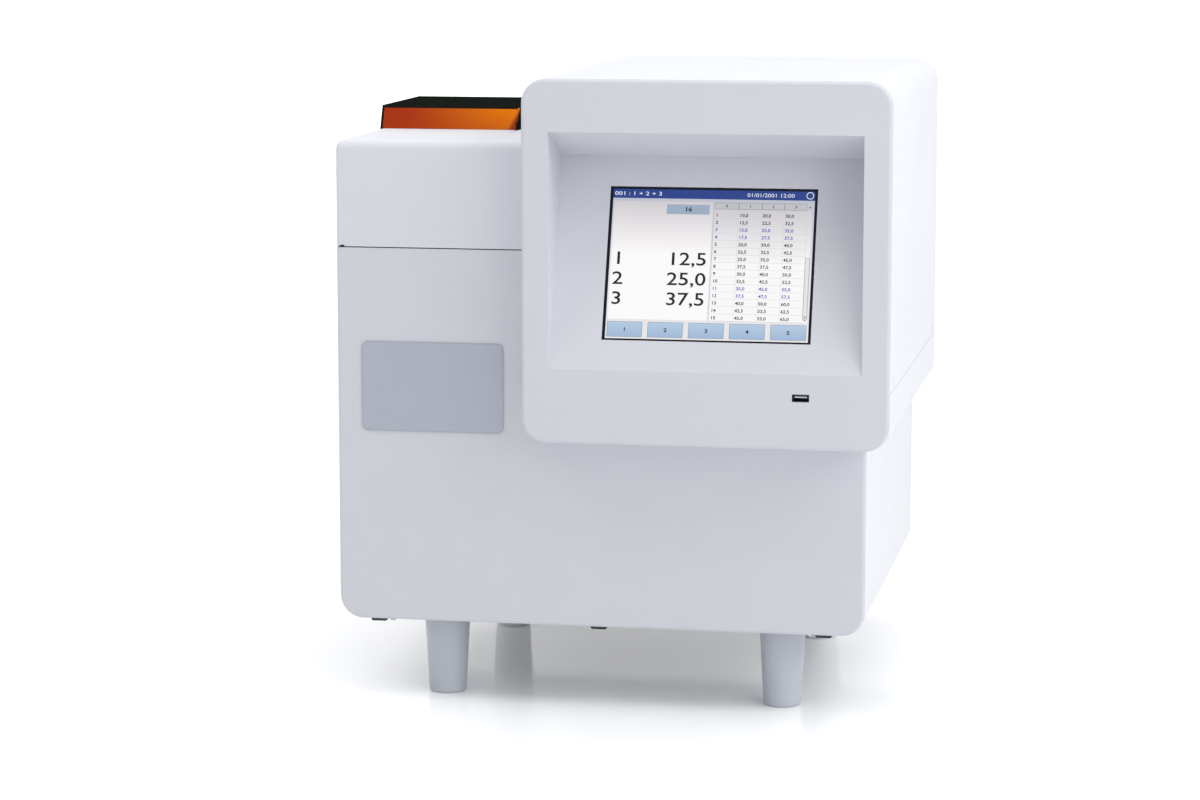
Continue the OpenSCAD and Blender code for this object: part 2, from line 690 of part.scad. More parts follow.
// The plate under the flame, with a flange along the left wall and one along the bulkhead.
module hearth_plate() centred(steel) difference() {
    union() {
        translate([sheet + fit, hearth_y0, hearth_z - sheet])
            cube([bulk_x - sheet - 2 * fit, hearth_l, sheet]);
        for (x = [sheet + fit, bulk_x - fit - sheet])
            translate([x, hearth_y0, hearth_z - hearth_flange]) cube([sheet, hearth_l, hearth_flange - 1]);
    }
    translate([burner_x, burner_y, hearth_z - sheet - 1])
        cylinder(d = burner_d + 4, h = sheet + 2, $fn = 64);
    for (k = [-2:1])
        translate([bulk_x - hearth_slot_in - hearth_slot_l, burner_y + (k + 0.1) * hearth_slot_pitch,
            hearth_z - sheet - 1]) cube([hearth_slot_l, hearth_slot_w, sheet + 2]);
}

chimney_wall = 1.5;
chimney_top = z_split - 6;
module chimney() centred(steel) translate([burner_x, burner_y, hearth_z]) difference() {
    union() {
        cylinder(d = chimney_d, h = chimney_top - hearth_z, $fn = 96);
        cylinder(d = chimney_d + 16, h = chimney_wall, $fn = 96);
    }
    translate([0, 0, -1]) cylinder(d = chimney_d - 2 * chimney_wall, h = chimney_top, $fn = 96);
    translate([0, 0, optic_z - hearth_z]) rod_x(port_d, chimney_d);
    translate([0, 0, igniter_up]) rotate([0, 0, 90]) rod_x(9, chimney_d);
    translate([0, 0, igniter_up]) rotate([0, 0, -90]) rod_x(7, chimney_d);
    for (k = [0:3])
        translate([0, 0, 2 * chimney_wall]) rotate([0, 0, 135 + 30 * k])
            translate([chimney_d / 2 - 4, -2, 0]) cube([8, 4, 8]);
}

burner_stem_d = 18;
stem_bore_d = 12;
stem_z = chamber_z + chamber_d / 2 + fit;
jet_rings = [[2.4, 6], [4.7, 12]];      // radius of each ring of jets and the number of its jets

// A stem with a nut at its foot that widens into the head, whose face has two rings of jets.
module burner_head() centred(brass) translate([burner_x, burner_y, 0]) difference() {
    union() {
        translate([0, 0, stem_z]) cylinder(d = burner_stem_d, h = hearth_z - 20 - stem_z, $fn = 48);
        translate([0, 0, hearth_z - 24]) cylinder(d1 = burner_stem_d, d2 = burner_d, h = 8, $fn = 48);
        translate([0, 0, hearth_z - 16]) cylinder(d = burner_d, h = 24, $fn = 48);
        translate([0, 0, stem_z]) cylinder(d = burner_stem_d + 8, h = 7, $fn = 6);
    }
    translate([0, 0, stem_z - 1]) cylinder(d = stem_bore_d, h = hearth_z + 6 - stem_z, $fn = 32);
    for (ring = jet_rings, k = [0:ring[1] - 1])
        rotate([0, 0, k * 360 / ring[1]]) translate([ring[0], 0, hearth_z])
            cylinder(d = 1.5, h = 12, $fn = 16);
}

module mixing_chamber() centred("#E4E1D8") difference() {
    union() {
        translate([burner_x, chamber_y0, chamber_z]) rod_y(chamber_d, chamber_l);
        translate([burner_x, chamber_y0, chamber_z]) rod_y(chamber_d + 8, 8);
        translate([burner_x, burner_y, chamber_z])
            cylinder(d = burner_stem_d + 10, h = chamber_d / 2, $fn = 48);
        translate([burner_x, drain_y, chamber_z - chamber_d / 2 - 8]) cylinder(d = 14, h = 14, $fn = 32);
        translate([burner_x, gas_pipe_y, chamber_z]) rod_x(16, chamber_d / 2 + 6);
    }
    translate([burner_x, chamber_y0 - 1, chamber_z]) rod_y(chamber_d - 8, chamber_l - 3);
    translate([burner_x, burner_y, chamber_z]) cylinder(d = stem_bore_d, h = chamber_d, $fn = 32);
    translate([burner_x, drain_y, chamber_z - chamber_d]) cylinder(d = 8, h = chamber_d, $fn = 32);
    translate([burner_x, gas_pipe_y, chamber_z]) rod_x(pipe_d, chamber_d);
}

// The chamber's front cap with the nebuliser in its middle.
neb_l = 34;
neb_arm = 22;        // reach of the side arm that takes the air
module nebuliser() centred(steel) difference() {
    union() {
        translate([burner_x, chamber_y0 - 6 - fit, chamber_z]) rod_y(chamber_d + 8, 6);
        translate([burner_x, chamber_y0 - neb_l, chamber_z]) rod_y(16, neb_l + 6);
        translate([burner_x, chamber_y0 - neb_l - 8, chamber_z]) rod_y(10, 12);
        translate([burner_x, air_pipe_y, chamber_z]) rod_x(10, neb_arm);
    }
    translate([burner_x, chamber_y0 - neb_l - 9, chamber_z]) rod_y(sample_d + 0.4, neb_l + 20);
    translate([burner_x + 4, air_pipe_y, chamber_z]) rod_x(5, neb_arm);
}

sample_d = 3;
sample_hole_d = 12;
sample_bend = 16;
sample_y = chamber_y0 - neb_l - 8 - sample_bend - 2;
port_reach = 8;      // how far the sample port stands out of the left side
module sample_tube() centred("#E9EEF2") {
    translate([-port_reach, sample_y, chamber_z]) rod_x(8, port_reach + sheet);
    translate([-2.5, sample_y, chamber_z]) rod_x(sample_hole_d + 6, 2.5);
    translate([-1, sample_y, chamber_z]) rod_x(sample_hole_d - 2 * fit, sheet + 4);
    translate([sheet, sample_y, chamber_z]) rod_x(sample_d, burner_x - sample_bend - sheet);
    translate([burner_x - sample_bend, sample_y + sample_bend, chamber_z]) rotate([0, 0, -90])
        bend(sample_d, sample_bend);
    translate([burner_x, sample_y + sample_bend, chamber_z]) rod_y(sample_d, 8);
}

stand_w = 80;
stand_l = 40;
cheek_t = 3;
module chamber_stand() centred(zinc) difference() {
    union() {
        translate([burner_x - stand_w / 2, stand_y, floor_z + fit]) cube([stand_w, stand_l, sheet]);
        for (y = [stand_y, stand_y + stand_l - cheek_t])
            translate([burner_x - stand_w / 2 + 2 * cheek_t, y, floor_z + fit])
                cube([stand_w - 4 * cheek_t, cheek_t, chamber_z - floor_z - 8]);
    }
    translate([burner_x, stand_y - 1, chamber_z]) rod_y(chamber_d + 2 * fit, stand_l + 2);
}
stand_y = chamber_y0 + 12;

igniter_up = 12.8;
module igniter() centred("#F4F1EA") translate([burner_x, burner_y, hearth_z + igniter_up]) {
    translate([0, 20, 0]) rod_y(6, 34);
    translate([0, 44, 0]) rod_y(14, 18);
    translate([-8, 46, -igniter_up]) cube([16, 14, igniter_up]);
    translate([0, 17, 0]) rod_y(1.6, 6);
}

module flame_sensor() centred(brass) translate([burner_x, burner_y, hearth_z + igniter_up]) {
    translate([0, -58, 0]) rod_y(5, 38);
    translate([0, -62, 0]) rod_y(12, 14);
    translate([-6, -60, -igniter_up]) cube([12, 10, igniter_up]);
}

drain_y = chamber_y0 + chamber_l - 14;
drain_d = 14;
drain_bend = 18;
drain_z = foot_h + 16;
module drain_pipe() centred("#D8E0E6") {
    translate([burner_x, drain_y, drain_z + drain_bend])
        cylinder(d = drain_d, h = chamber_z - chamber_d / 2 - 8 - fit - drain_z - drain_bend, $fn = 32);
    translate([burner_x, drain_y + drain_bend, drain_z + drain_bend]) rotate([0, 90, 0]) rotate([0, 0, 180])
        mirror([1, 0, 0]) bend(drain_d, drain_bend);
    translate([burner_x, drain_y + drain_bend, drain_z]) rod_y(drain_d, nipple_y - drain_y - drain_bend);
}

// ---------- gas and air ----------

pipe_d = 6;
pipe_hole_d = 10;
gas_pipe_y = chamber_y0 + 60;
air_pipe_y = chamber_y0 - 20;
gas_pipe_z = chamber_z;
man_x = tower_w + 20;
man_y = gas_pipe_y - 14;
man_w = 70;
man_d = 120;
man_h = 40;
man_z = chamber_z - man_h / 2;
post_d = 10;
post_in = 14;        // middle of a post from the manifold's sides
valve_first = 24;    // middle of the first valve from the manifold's front
valve_pitch = 46;
valve_w = 32;
valve_h = 26;
valve_stem_d = 12;
valve_stem_l = 10;
valve_cap_d = 16;
valve_cap_h = 4;

module at_valves() {
    for (k = [0:1])
        translate([man_x + man_w / 2, man_y + valve_first + valve_pitch * k, man_z + man_h]) children();
}

module gas_manifold() centred(zinc) difference() {
    union() {
        translate([man_x, man_y, man_z]) cube([man_w, man_d, man_h]);
        translate([burner_x + chamber_d / 2 + 1, gas_pipe_y, gas_pipe_z])
            rod_x(pipe_d - 2 * fit, man_x - burner_x - chamber_d / 2);
        for (p = [[post_in, post_in], [man_w - post_in, man_d - post_in]])
            translate([man_x + p[0], man_y + p[1], floor_z])
                cylinder(d = post_d, h = man_z - floor_z + 1, $fn = 32);
        translate([man_x + man_w / 2, man_y + man_d - 0.5, man_z + man_h / 2])
            rod_y(pipe_d, nipple_y - man_y - man_d + 0.5);
    }
    at_valves() translate([0, 0, -valve_stem_l]) cylinder(d = valve_stem_d, h = valve_stem_l + 1, $fn = 32);
}

module solenoid_valves() centred(dark) at_valves() {
    translate([0, 0, fit - valve_stem_l]) cylinder(d = valve_stem_d - 3 * fit, h = valve_stem_l, $fn = 32);
    translate([-valve_w / 2, -valve_w / 2, fit]) cube([valve_w, valve_w, valve_h]);
    translate([0, 0, valve_h]) cylinder(d = valve_cap_d, h = valve_cap_h, $fn = 32);
}

reg_gap = 46;        // middle of the regulator from the manifold's side
reg_x = man_x + man_w + reg_gap;
reg_d = 52;
reg_h = 22;
reg_dome_h = 14;
reg_knob_d = 16;
reg_knob_h = 12;
reg_bowl_d = 36;
reg_bowl_h = 34;
reg_arm = 16;        // the air pipe enters this far left of the regulator's middle
// The regulator on its post, with the pipe to the nebuliser and the corner block that turns it.
module air_regulator() centred("#C5CAD0") {
    translate([reg_x, man_y, man_z]) {
        translate([0, 0, floor_z - man_z]) cylinder(d = post_d, h = man_z - floor_z + 1, $fn = 32);
        cylinder(d = reg_d, h = reg_h, $fn = 64);
        translate([0, 0, reg_h]) cylinder(d1 = reg_d - 6, d2 = reg_d / 2, h = reg_dome_h, $fn = 64);
        translate([0, 0, reg_h + reg_dome_h]) cylinder(d = reg_knob_d, h = reg_knob_h, $fn = 32);
        translate([0, 0, -reg_bowl_h]) cylinder(d = reg_bowl_d, h = reg_bowl_h + 1, $fn = 64);
        translate([0, reg_d / 2 - 6, reg_h / 2]) rod_y(pipe_d, nipple_y - man_y - reg_d / 2 + 6);
    }
    translate([burner_x + neb_arm + 0.5, air_pipe_y, gas_pipe_z])
        rod_x(pipe_d - 2 * fit, reg_x - reg_arm - burner_x - neb_arm - 0.5);
    translate([reg_x - reg_arm, air_pipe_y, gas_pipe_z]) {
        translate([-elbow_w / 2, -elbow_w / 2, -elbow_w / 2]) cube(elbow_w);
        rod_y(pipe_d, man_y - air_pipe_y - reg_arm);
    }
}
elbow_w = 16;

supply_w = 160;
supply_d = 110;
supply_h = 42;
supply_x = body_w - corner_r - 2 - supply_w;
supply_y = foot_front + 32;
module power_supply() centred(steel) difference() {
    translate([supply_x, supply_y, floor_z]) cube([supply_w, supply_d, supply_h]);
    for (i = [0:11])
        translate([supply_x + 12 + 12 * i, supply_y + 14, floor_z + supply_h - 3])
            cube([6, supply_d - 28, 4]);
    translate([supply_x - 1, supply_y + 12, floor_z + 10]) cube([11, supply_d - 24, supply_h]);
}

// ---------- rear services ----------

entry_w = 48;
entry_h = 76;
entry_x = body_w - 40 - entry_w;
entry_z = foot_h + 50;
entry_depth = 30;
flange_t = 2.5;
rocker_w = 20;
rocker_h = 14;
rocker_z = entry_z + entry_h - 12;
rocker_y = body_d + 1;
socket_z = entry_z + 36;
drawer_z = entry_z + 13;
drawer_w = 28;
drawer_h = 9;
drawer_l = 28;

// Outline of the mains socket's cavity, with its two cut corners.
function socket_outline() = [[-13.5, -9], [13.5, -9], [13.5, 4], [8.5, 9], [-8.5, 9], [-13.5, 4]];

module power_entry() centred(dark) difference() {
    union() {
        translate([entry_x + fit, body_d - entry_depth, entry_z + fit])
            cube([entry_w - 2 * fit, entry_depth + 0.5, entry_h - 2 * fit]);
        translate([entry_x - 4, body_d + fit, entry_z - 4]) cube([entry_w + 8, flange_t, entry_h + 8]);
    }
    difference() {
        translate([entry_x + entry_w / 2, 0, socket_z]) along_y(body_d - 14, body_d + flange_t + 2)
            polygon(socket_outline());
        for (s = [-1:1])
            translate([entry_x + entry_w / 2 + 7 * s - 1, body_d - 16, socket_z - (s == 0 ? 4.5 : 2)])
                cube([2, 13, 4.5]);
    }
    translate([entry_x + (entry_w - rocker_w) / 2 - 0.5, body_d - 12, rocker_z - rocker_h / 2 - 0.5])
        cube([rocker_w + 1, 20, rocker_h + 1]);
    translate([entry_x + entry_w / 2 - rocker_w / 2 - 3, rocker_y, rocker_z]) rod_x(3.1, rocker_w + 6);
    translate([entry_x + (entry_w - drawer_w) / 2 - fit, body_d - drawer_l + 2,
        drawer_z - drawer_h / 2 - fit])
        cube([drawer_w + 2 * fit, drawer_l + 6, drawer_h + 2 * fit]);
}

rocker_tip = 8;
module rocker_switch() centred("#1B1D1F")
    translate([entry_x + entry_w / 2 - rocker_w / 2, rocker_y, rocker_z])
    rotate([rocker_tip, 0, 0]) {
        along_x(0, rocker_w) polygon([[-5, -4], [4, -rocker_h / 2 + 0.7], [1.8, 0],
            [4, rocker_h / 2 - 0.7], [-5, 4]]);
        translate([-2.6, 0, 0]) rod_x(3, rocker_w + 5.2);
    }

module fuse_drawer() centred("#23262A")
    translate([entry_x + (entry_w - drawer_w) / 2, 0, drawer_z - drawer_h / 2]) {
    difference() {
        translate([0, body_d - drawer_l + 3, 0]) cube([drawer_w, drawer_l + flange_t - 3 + 1.5, drawer_h]);
        translate([3, body_d - drawer_l + 6, 2]) cube([drawer_w - 6, 21, drawer_h]);
    }
    translate([drawer_w / 2 - 6, body_d + flange_t + 1, drawer_h / 2 - 1]) cube([12, 2.5, 2]);
}

// Each nipple: place along X, height, outer radius of its tip, radius of its bore.
nipple_hole_d = 14;
nipple_in = 12;      // reach of a nipple's stub inside the rear panel
nipple_y = body_d - nipple_in - fit;
drain_x = burner_x;
nipples = [[man_x + man_w / 2, man_z + man_h / 2, gas_tip_r, 1.8],
    [reg_x, man_z + reg_h / 2, air_tip_r, 1.4],
    [drain_x, drain_z, drain_tip_r, 3]];
module service_nipples() centred(brass) {
    for (p = nipples)
        translate([p[0], body_d, p[1]]) difference() {
            union() {
                translate([0, -nipple_in, 0]) rod_y(nipple_hole_d - 3 * fit, nipple_in);
                rotate([-90, 0, 0]) cylinder(d = 20, h = 6, $fn = 6);
                rod_y(2 * p[2] + 3, nipple_reach - 14);
                rod_y(2 * p[2], nipple_reach);
            }
            translate([0, -6, 0]) rod_y(2 * p[3], nipple_reach + 8);
        }
}

fan_hole = fan_size / 2 - 4.2;
hub_d = 34;
module fan_frame() centred(dark) translate([fan_x, fan_y, fan_z]) difference() {
    union() {
        difference() {
            translate([-fan_size / 2, 0, -fan_size / 2]) cube([fan_size, fan_t, fan_size]);
            translate([0, -1, 0]) rod_y(fan_bore, fan_t + 2);
        }
        for (k = [0:2]) rotate([0, 30 + 120 * k, 0]) translate([0, 0, -2]) cube([fan_bore / 2 + 1, 3, 4]);
        rod_y(hub_d - 6, 6);
        rod_y(6, fan_t - 6);
    }
    for (i = [-1, 1], j = [-1, 1]) translate([i * fan_hole, -1, j * fan_hole]) rod_y(4.5, fan_t + 2);
}

module fan_rotor() centred("#33373A") translate([fan_x, fan_y + 6.5, fan_z]) difference() {
    union() {
        rod_y(hub_d, 15);
        intersection() {
            for (k = [0:6])
                rotate([0, 360 / 7 * k, 0]) translate([hub_d / 2 - 1, 7.5, 0]) rotate([38, 0, 0])
                    translate([0, -0.8, -10]) cube([fan_bore / 2 - hub_d / 2, 1.6, 20]);
            rod_y(fan_bore - 2, 15);
        }
    }
    translate([0, -1, 0]) rod_y(hub_d - 4, 10);
    translate([0, -1, 0]) rod_y(6.1, 14);
}

module fan_guard() centred(steel) translate([fan_x, hy1 + 1.2, fan_z]) {
    for (r = [10:9:fan_bore / 2])
        rotate([90, 0, 0]) rotate_extrude($fn = 64) translate([r, 0]) circle(d = 1.8, $fn = 16);
    for (k = [0:3]) rotate([0, 45 + 90 * k, 0]) translate([0, 1, 0]) rod_x(1.8, fan_hole * sqrt(2) + 4);
}

// ---------- lid ----------

notch_w = 4;
flue_wall = 1.2;
slot_front = 30;     // how far the shield's slots run out in front of its window
module burner_lid() centred(white) difference() {
    union() {
        difference() {
            translate([0, 0, z_split + lid_seam / 2])
                soft_plate(tower_w, body_d, lid_h - lid_seam / 2, [edge_r, edge_r, edge_r, edge_r], lid_r);
            translate([wall, wall, z_split - 1])
                soft_plate(tower_w - 2 * wall, body_d - 2 * wall, lid_h + 1 - wall,
                    [edge_r, edge_r, edge_r, edge_r], lid_r - 1);
        }
        translate([bulk_x - 16, plunger_y - 8, z_split + striker_up])
            cube([tower_w - wall - bulk_x + 16.5, 16, 3]);
    }
    translate([shield_x + liner_in, shield_y + liner_in, z_lid - wall - 1])
        cube([shield_w - 2 * liner_in, shield_d - 2 * liner_in, wall + 2]);
    for (x = [shield_x - fit, shield_x + shield_w - sheet - fit])
        translate([x, shield_y - shield_lean - slot_front, z_lid - slot_t])
            cube([sheet + 2 * fit, shield_d + shield_lean + slot_front + fit, slot_t + 1]);
    translate([edge_r + 0.3, -1, z_split]) cube([notch_w, wall + 2, 1.2 + lid_seam / 2]);
}
slot_t = 1.6;

module flue_shield() centred("#1C1F1B") {
    difference() {
        along_x(shield_x, shield_x + shield_w) polygon([
            [shield_y - shield_lean, z_lid - slot_t + fit], [shield_y, z_lid + shield_h],
            [shield_y + shield_d, z_lid + shield_h], [shield_y + shield_d, z_lid - slot_t + fit]]);
        along_x(shield_x + sheet, shield_x + shield_w - sheet) polygon([
            [shield_y - shield_lean - 10, z_lid - slot_t - 1],
                [shield_y - shield_lean - 10, z_lid + shield_h - sheet],
            [shield_y + shield_d - sheet, z_lid + shield_h - sheet],
                [shield_y + shield_d - sheet, z_lid - slot_t - 1]]);
        translate([shield_x + 12, shield_y + shield_d - sheet / 2, z_lid + 4])
            slot_row(10, (shield_w - 24) / 10, 5, shield_h - 8, sheet + 2);
        translate([shield_x + sheet, shield_y + shield_d - sheet - 1, z_lid - 5])
            cube([shield_w - 2 * sheet, sheet + 2, 5 + fit]);
    }
}

window_t = 3;
module shield_window() centred(orange) {
    along_x(shield_x + sheet + fit, shield_x + shield_w - sheet - fit) polygon([
        [shield_y - shield_lean * (1 - fit / shield_h), z_lid + fit],
        [shield_y - shield_lean * (sheet + fit) / shield_h, z_lid + shield_h - sheet - fit],
        [shield_y - shield_lean * (sheet + fit) / shield_h + window_t, z_lid + shield_h - sheet - fit],
        [shield_y - shield_lean * (1 - fit / shield_h) + window_t, z_lid + fit]]);
}

// A sheet duct that leads the exhaust from the chimney up to the shield.
liner_in = 20;
module flue_liner() centred(steel) difference() {
    translate([shield_x + liner_in - flue_wall, shield_y + liner_in - flue_wall, z_split + 8])
        cube([shield_w - 2 * liner_in + 2 * flue_wall, shield_d - 2 * liner_in + 2 * flue_wall,
            z_lid - wall - fit - z_split - 8]);
    translate([shield_x + liner_in, shield_y + liner_in, z_split])
        cube([shield_w - 2 * liner_in, shield_d - 2 * liner_in, lid_h]);
}

// Hinges: the axis lies behind the rear panel, at the height of the split line.
hinge_y = body_d + 5;
hinge_z = z_split - 0.2;
knuckle_d = 8;
knuckle_l = 10;
pin_d = 4;
hinge_places = [24, tower_w - 24 - 3 * knuckle_l];

leaf_t = 1.5;
leaf_h = 24;

// One leaf's knuckles, bored for the pin, with the webs that join them to the leaf's plate. side is -1
// for the leaf below the axis and 1 for the one above it.
module hinge_knuckles(turns, side) difference() {
    union() {
        for (k = turns) translate([k * knuckle_l + fit / 2, 0, 0]) {
            translate([0, hinge_y, hinge_z]) rod_x(knuckle_d, knuckle_l - fit);
            translate([0, body_d + fit, hinge_z + (side > 0 ? 1 : -6)]) cube([knuckle_l - fit, 4.6, 5]);
        }
        translate([0, body_d + fit, side > 0 ? hinge_z + 5 : hinge_z - 5 - leaf_h])
            cube([3 * knuckle_l, leaf_t, leaf_h]);
    }
    translate([-1, hinge_y, hinge_z]) rod_x(pin_d + 0.1, 3 * knuckle_l + 2);
}

// The two upper leaves, screwed to the lid's rear wall.
module lid_leaves() centred(steel)
    for (x = hinge_places) translate([x, 0, 0]) hinge_knuckles([1], 1);

// The two lower leaves, screwed to the rear panel, and the pins that are riveted into them.
module lid_hinges() centred(steel)
    for (x = hinge_places) translate([x, 0, 0]) {
        hinge_knuckles([0, 2], -1);
        translate([-1, hinge_y, hinge_z]) rod_x(pin_d, 3 * knuckle_l + 2);
    }

// A switch on the bulkhead that shuts the gas off when the lid is lifted, and its plunger under the
// lid's striker.
plunger_x = bulk_x - 9;
plunger_y = body_d - 82;
plunger_d = 4;
striker_up = 3;
module interlock_switch() centred(dark) difference() {
    union() {
        translate([bulk_x - 18, plunger_y - 14, z_split - 32]) cube([18 - fit, 28, 24]);
        translate([plunger_x, plunger_y, z_split - 9]) cylinder(d = 10, h = 4, $fn = 32);
    }
    translate([plunger_x, plunger_y, z_split - 20]) cylinder(d = plunger_d + 0.1, h = 20, $fn = 32);
}

module interlock_plunger() centred("#D9DBDD")
    translate([plunger_x, plunger_y, z_split - 18])
        cylinder(d = plunger_d, h = 18 + striker_up - fit, $fn = 32);

base_plate();
side_panel_left();
side_panel_right();
front_panel();
rear_panel();
bulkhead();
bay_deck();
name_plate();
front_clips();
clip_screws();
foot_front_left();
foot_front_right();
foot_rear_left();
foot_rear_right();
foot_bolts();
housing_tray();
housing_cover();
display_bezel();
touch_panel();
lcd_module();
lcd_bracket();
display_board();
usb_socket();
main_board();
optics_stand();
optics_block();
optics_lens();
beam_splitters();
channel_filters();
detectors();
hearth_plate();
chimney();
burner_head();
mixing_chamber();
nebuliser();
chamber_stand();
sample_tube();
igniter();
flame_sensor();
drain_pipe();
gas_manifold();
solenoid_valves();
air_regulator();
power_supply();
power_entry();
rocker_switch();
fuse_drawer();
service_nipples();
fan_frame();
fan_rotor();
fan_guard();
data_ports();
burner_lid();
flue_shield();
shield_window();
flue_liner();
lid_leaves();
lid_hinges();
interlock_switch();
interlock_plunger();
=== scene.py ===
"""Looks of a benchtop flame photometer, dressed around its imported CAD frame.

Lengths are in millimetres from the body's lower left front corner on the floor: X to the right, Y to
the back, Z up. at() turns such a point into the frame's metres. Only the studio is laid out in metres.
"""
from __future__ import annotations

import json
import logging
import math
from dataclasses import dataclass, field
from enum import Enum
from typing import Any, Callable, Iterable, Sequence

import bmesh
import bpy
from mathutils import Euler, Matrix, Vector

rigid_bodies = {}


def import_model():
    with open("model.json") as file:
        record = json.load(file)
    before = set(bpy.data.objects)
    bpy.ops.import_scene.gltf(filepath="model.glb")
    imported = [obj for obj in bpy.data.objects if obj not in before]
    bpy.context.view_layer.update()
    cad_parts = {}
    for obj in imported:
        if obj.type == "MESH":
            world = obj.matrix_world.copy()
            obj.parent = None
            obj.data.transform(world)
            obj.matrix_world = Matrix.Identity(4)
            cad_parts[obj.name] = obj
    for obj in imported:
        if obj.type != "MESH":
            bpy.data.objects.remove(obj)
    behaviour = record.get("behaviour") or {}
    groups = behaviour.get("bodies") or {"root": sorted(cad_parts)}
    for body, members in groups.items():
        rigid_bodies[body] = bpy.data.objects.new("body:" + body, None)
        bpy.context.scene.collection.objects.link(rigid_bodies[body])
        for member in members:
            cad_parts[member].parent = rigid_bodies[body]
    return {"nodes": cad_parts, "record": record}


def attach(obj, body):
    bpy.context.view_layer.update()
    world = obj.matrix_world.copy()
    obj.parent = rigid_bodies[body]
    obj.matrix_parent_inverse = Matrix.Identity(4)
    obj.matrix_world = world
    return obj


for leftover in list(bpy.data.objects):
    bpy.data.objects.remove(leftover, do_unlink=True)
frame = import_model()
LOG = logging.getLogger("photometer")

MM = 0.001
CORNER_X = 232.25  # the frame's origin, measured from the body's corner
CORNER_Y = 198.0
CHASSIS = "chassis"
LID = "lid"

# Faces of the CAD that several sub-assemblies lie on, in millimetres.
BODY_BACK = 412.0
HOUSE_LEFT = 167.5
HOUSE_RIGHT = 472.5
HOUSE_FRONT = -40.0
HOUSE_BACK = 384.0
RECESS_LEFT = 190.0
RECESS_FOOT = 295.0
SCREEN_LEAN = math.atan(61.6 / 172.5)  # depth of the recess over its rise, in radians

Point = tuple[float, float, float]
Point2 = tuple[float, float]
Tree = bpy.types.NodeTree
Node = bpy.types.Node
Socket = bpy.types.NodeSocket
Shape = bmesh.types.BMesh
Corner = bmesh.types.BMVert
Area = tuple[float, float, float, float]  # left, lower, right and upper edge

BACKWARD: Point = (0, 1, 0)
FORWARD: Point = (0, -1, 0)
SCREEN_OUT: Point = (0.0, -math.cos(SCREEN_LEAN), math.sin(SCREEN_LEAN))
SCREEN_UP: Point = (0.0, math.sin(SCREEN_LEAN), math.cos(SCREEN_LEAN))


def at(x: float, y: float, z: float) -> Vector:
    """Place of a point that is given in millimetres from the body's corner.

    Args:
        x: Distance to the right of the body's left side.
        y: Distance behind the body's front face.
        z: Height above the floor.

    Returns:
        The point in the frame, in metres.
    """
    return Vector(((x - CORNER_X) * MM, (y - CORNER_Y) * MM, z * MM))


def linear(hex_colour: str) -> tuple[float, float, float, float]:
    """Turns an sRGB colour into Blender's linear one.

    Args:
        hex_colour: Six hex digits after a #.

    Returns:
        Linear red, green, blue and an alpha of 1.
    """
    parts = [int(hex_colour[i : i + 2], 16) / 255 for i in (1, 3, 5)]
    r, g, b = (c / 12.92 if c <= 0.04045 else ((c + 0.055) / 1.055) ** 2.4 for c in parts)
    return (r, g, b, 1.0)


# ---------- material nodes ----------


def add_node(
    tree: Tree,
    kind: str,
    settings: dict[str | int, Any] | None = None,
    links: dict[str | int, Socket] | None = None,
) -> Node:
    """Adds a node to a material and connects it.

    Args:
        tree: The node tree.
        kind: Blender's name of the node's class.
        settings: Values by property or by input, where a number means the input's index.
        links: The outputs that feed its inputs.

    Returns:
        The new node.
    """
    node = tree.nodes.new(kind)
    for key, value in (settings or {}).items():
        if isinstance(key, str) and hasattr(node, key):
            setattr(node, key, value)
        else:
            node.inputs[key].default_value = value
    for key, source in (links or {}).items():
        tree.links.new(source, node.inputs[key])
    return node


def per_metre(millimetres: float) -> float:
    """Texture scale at which one cell of a pattern is so many millimetres wide."""
    return 1.0 / (millimetres * MM)


def places(tree: Tree) -> Socket:
    """Place of each point on the object, in metres."""
    return add_node(tree, "ShaderNodeTexCoord").outputs["Object"]


def along(tree: Tree, axis: str) -> Socket:
    """Place of each point along one axis, in metres."""
    return add_node(tree, "ShaderNodeSeparateXYZ", links={"Vector": places(tree)}).outputs[axis]


def stretched(tree: Tree, scale: Point) -> Socket:
    """Places whose scale along X, Y and Z is changed; a pattern on them is drawn out where it is under 1."""
    return add_node(tree, "ShaderNodeMapping", {"Scale": scale}, {"Vector": places(tree)}).outputs[0]


def noise(tree: Tree, cell_mm: float, detail: float, where: Socket | None = None) -> Socket:
    """Adds soft clouds that lie fixed on the object.

    Args:
        tree: The node tree.
        cell_mm: Width of a cloud, in millimetres.
        detail: How many finer layers it has.
        where: The places that it is drawn on, if they aren't the object's own.

    Returns:
        The clouds' strength, 0 to 1.
    """
    where = places(tree) if where is None else where
    settings = {"Scale": per_metre(cell_mm), "Detail": detail}
    return add_node(tree, "ShaderNodeTexNoise", settings, {"Vector": where}).outputs[0]


def ranged(
    tree: Tree, value: Socket, span: Point2, result: Point2 = (0.0, 1.0), kind: str = "LINEAR"
) -> Socket:
    """Maps a value from one range to another.

    Args:
        tree: The node tree.
        value: The value.
        span: Values at which the result starts and ends.
        result: The result there.
        kind: How it changes between them.

    Returns:
        The result.
    """
    settings = {
        "interpolation_type": kind,
        "From Min": span[0],
        "From Max": span[1],
        "To Min": result[0],
        "To Max": result[1],
    }
    return add_node(tree, "ShaderNodeMapRange", settings, {"Value": value}).outputs["Result"]


def maths(tree: Tree, operation: str, first: Socket, second: Socket | float = 0.5) -> Socket:
    """Works out one value from two.

    Args:
        tree: The node tree.
        operation: Blender's name of the operation.
        first: The first value.
        second: The second value; an operation on one value ignores it.

    Returns:
        The result.
    """
    settings: dict[str | int, Any] = {"operation": operation}
    links: dict[str | int, Socket] = {0: first}
    if isinstance(second, float):
        settings[1] = second
    else:
        links[1] = second
    return add_node(tree, "ShaderNodeMath", settings, links).outputs[0]


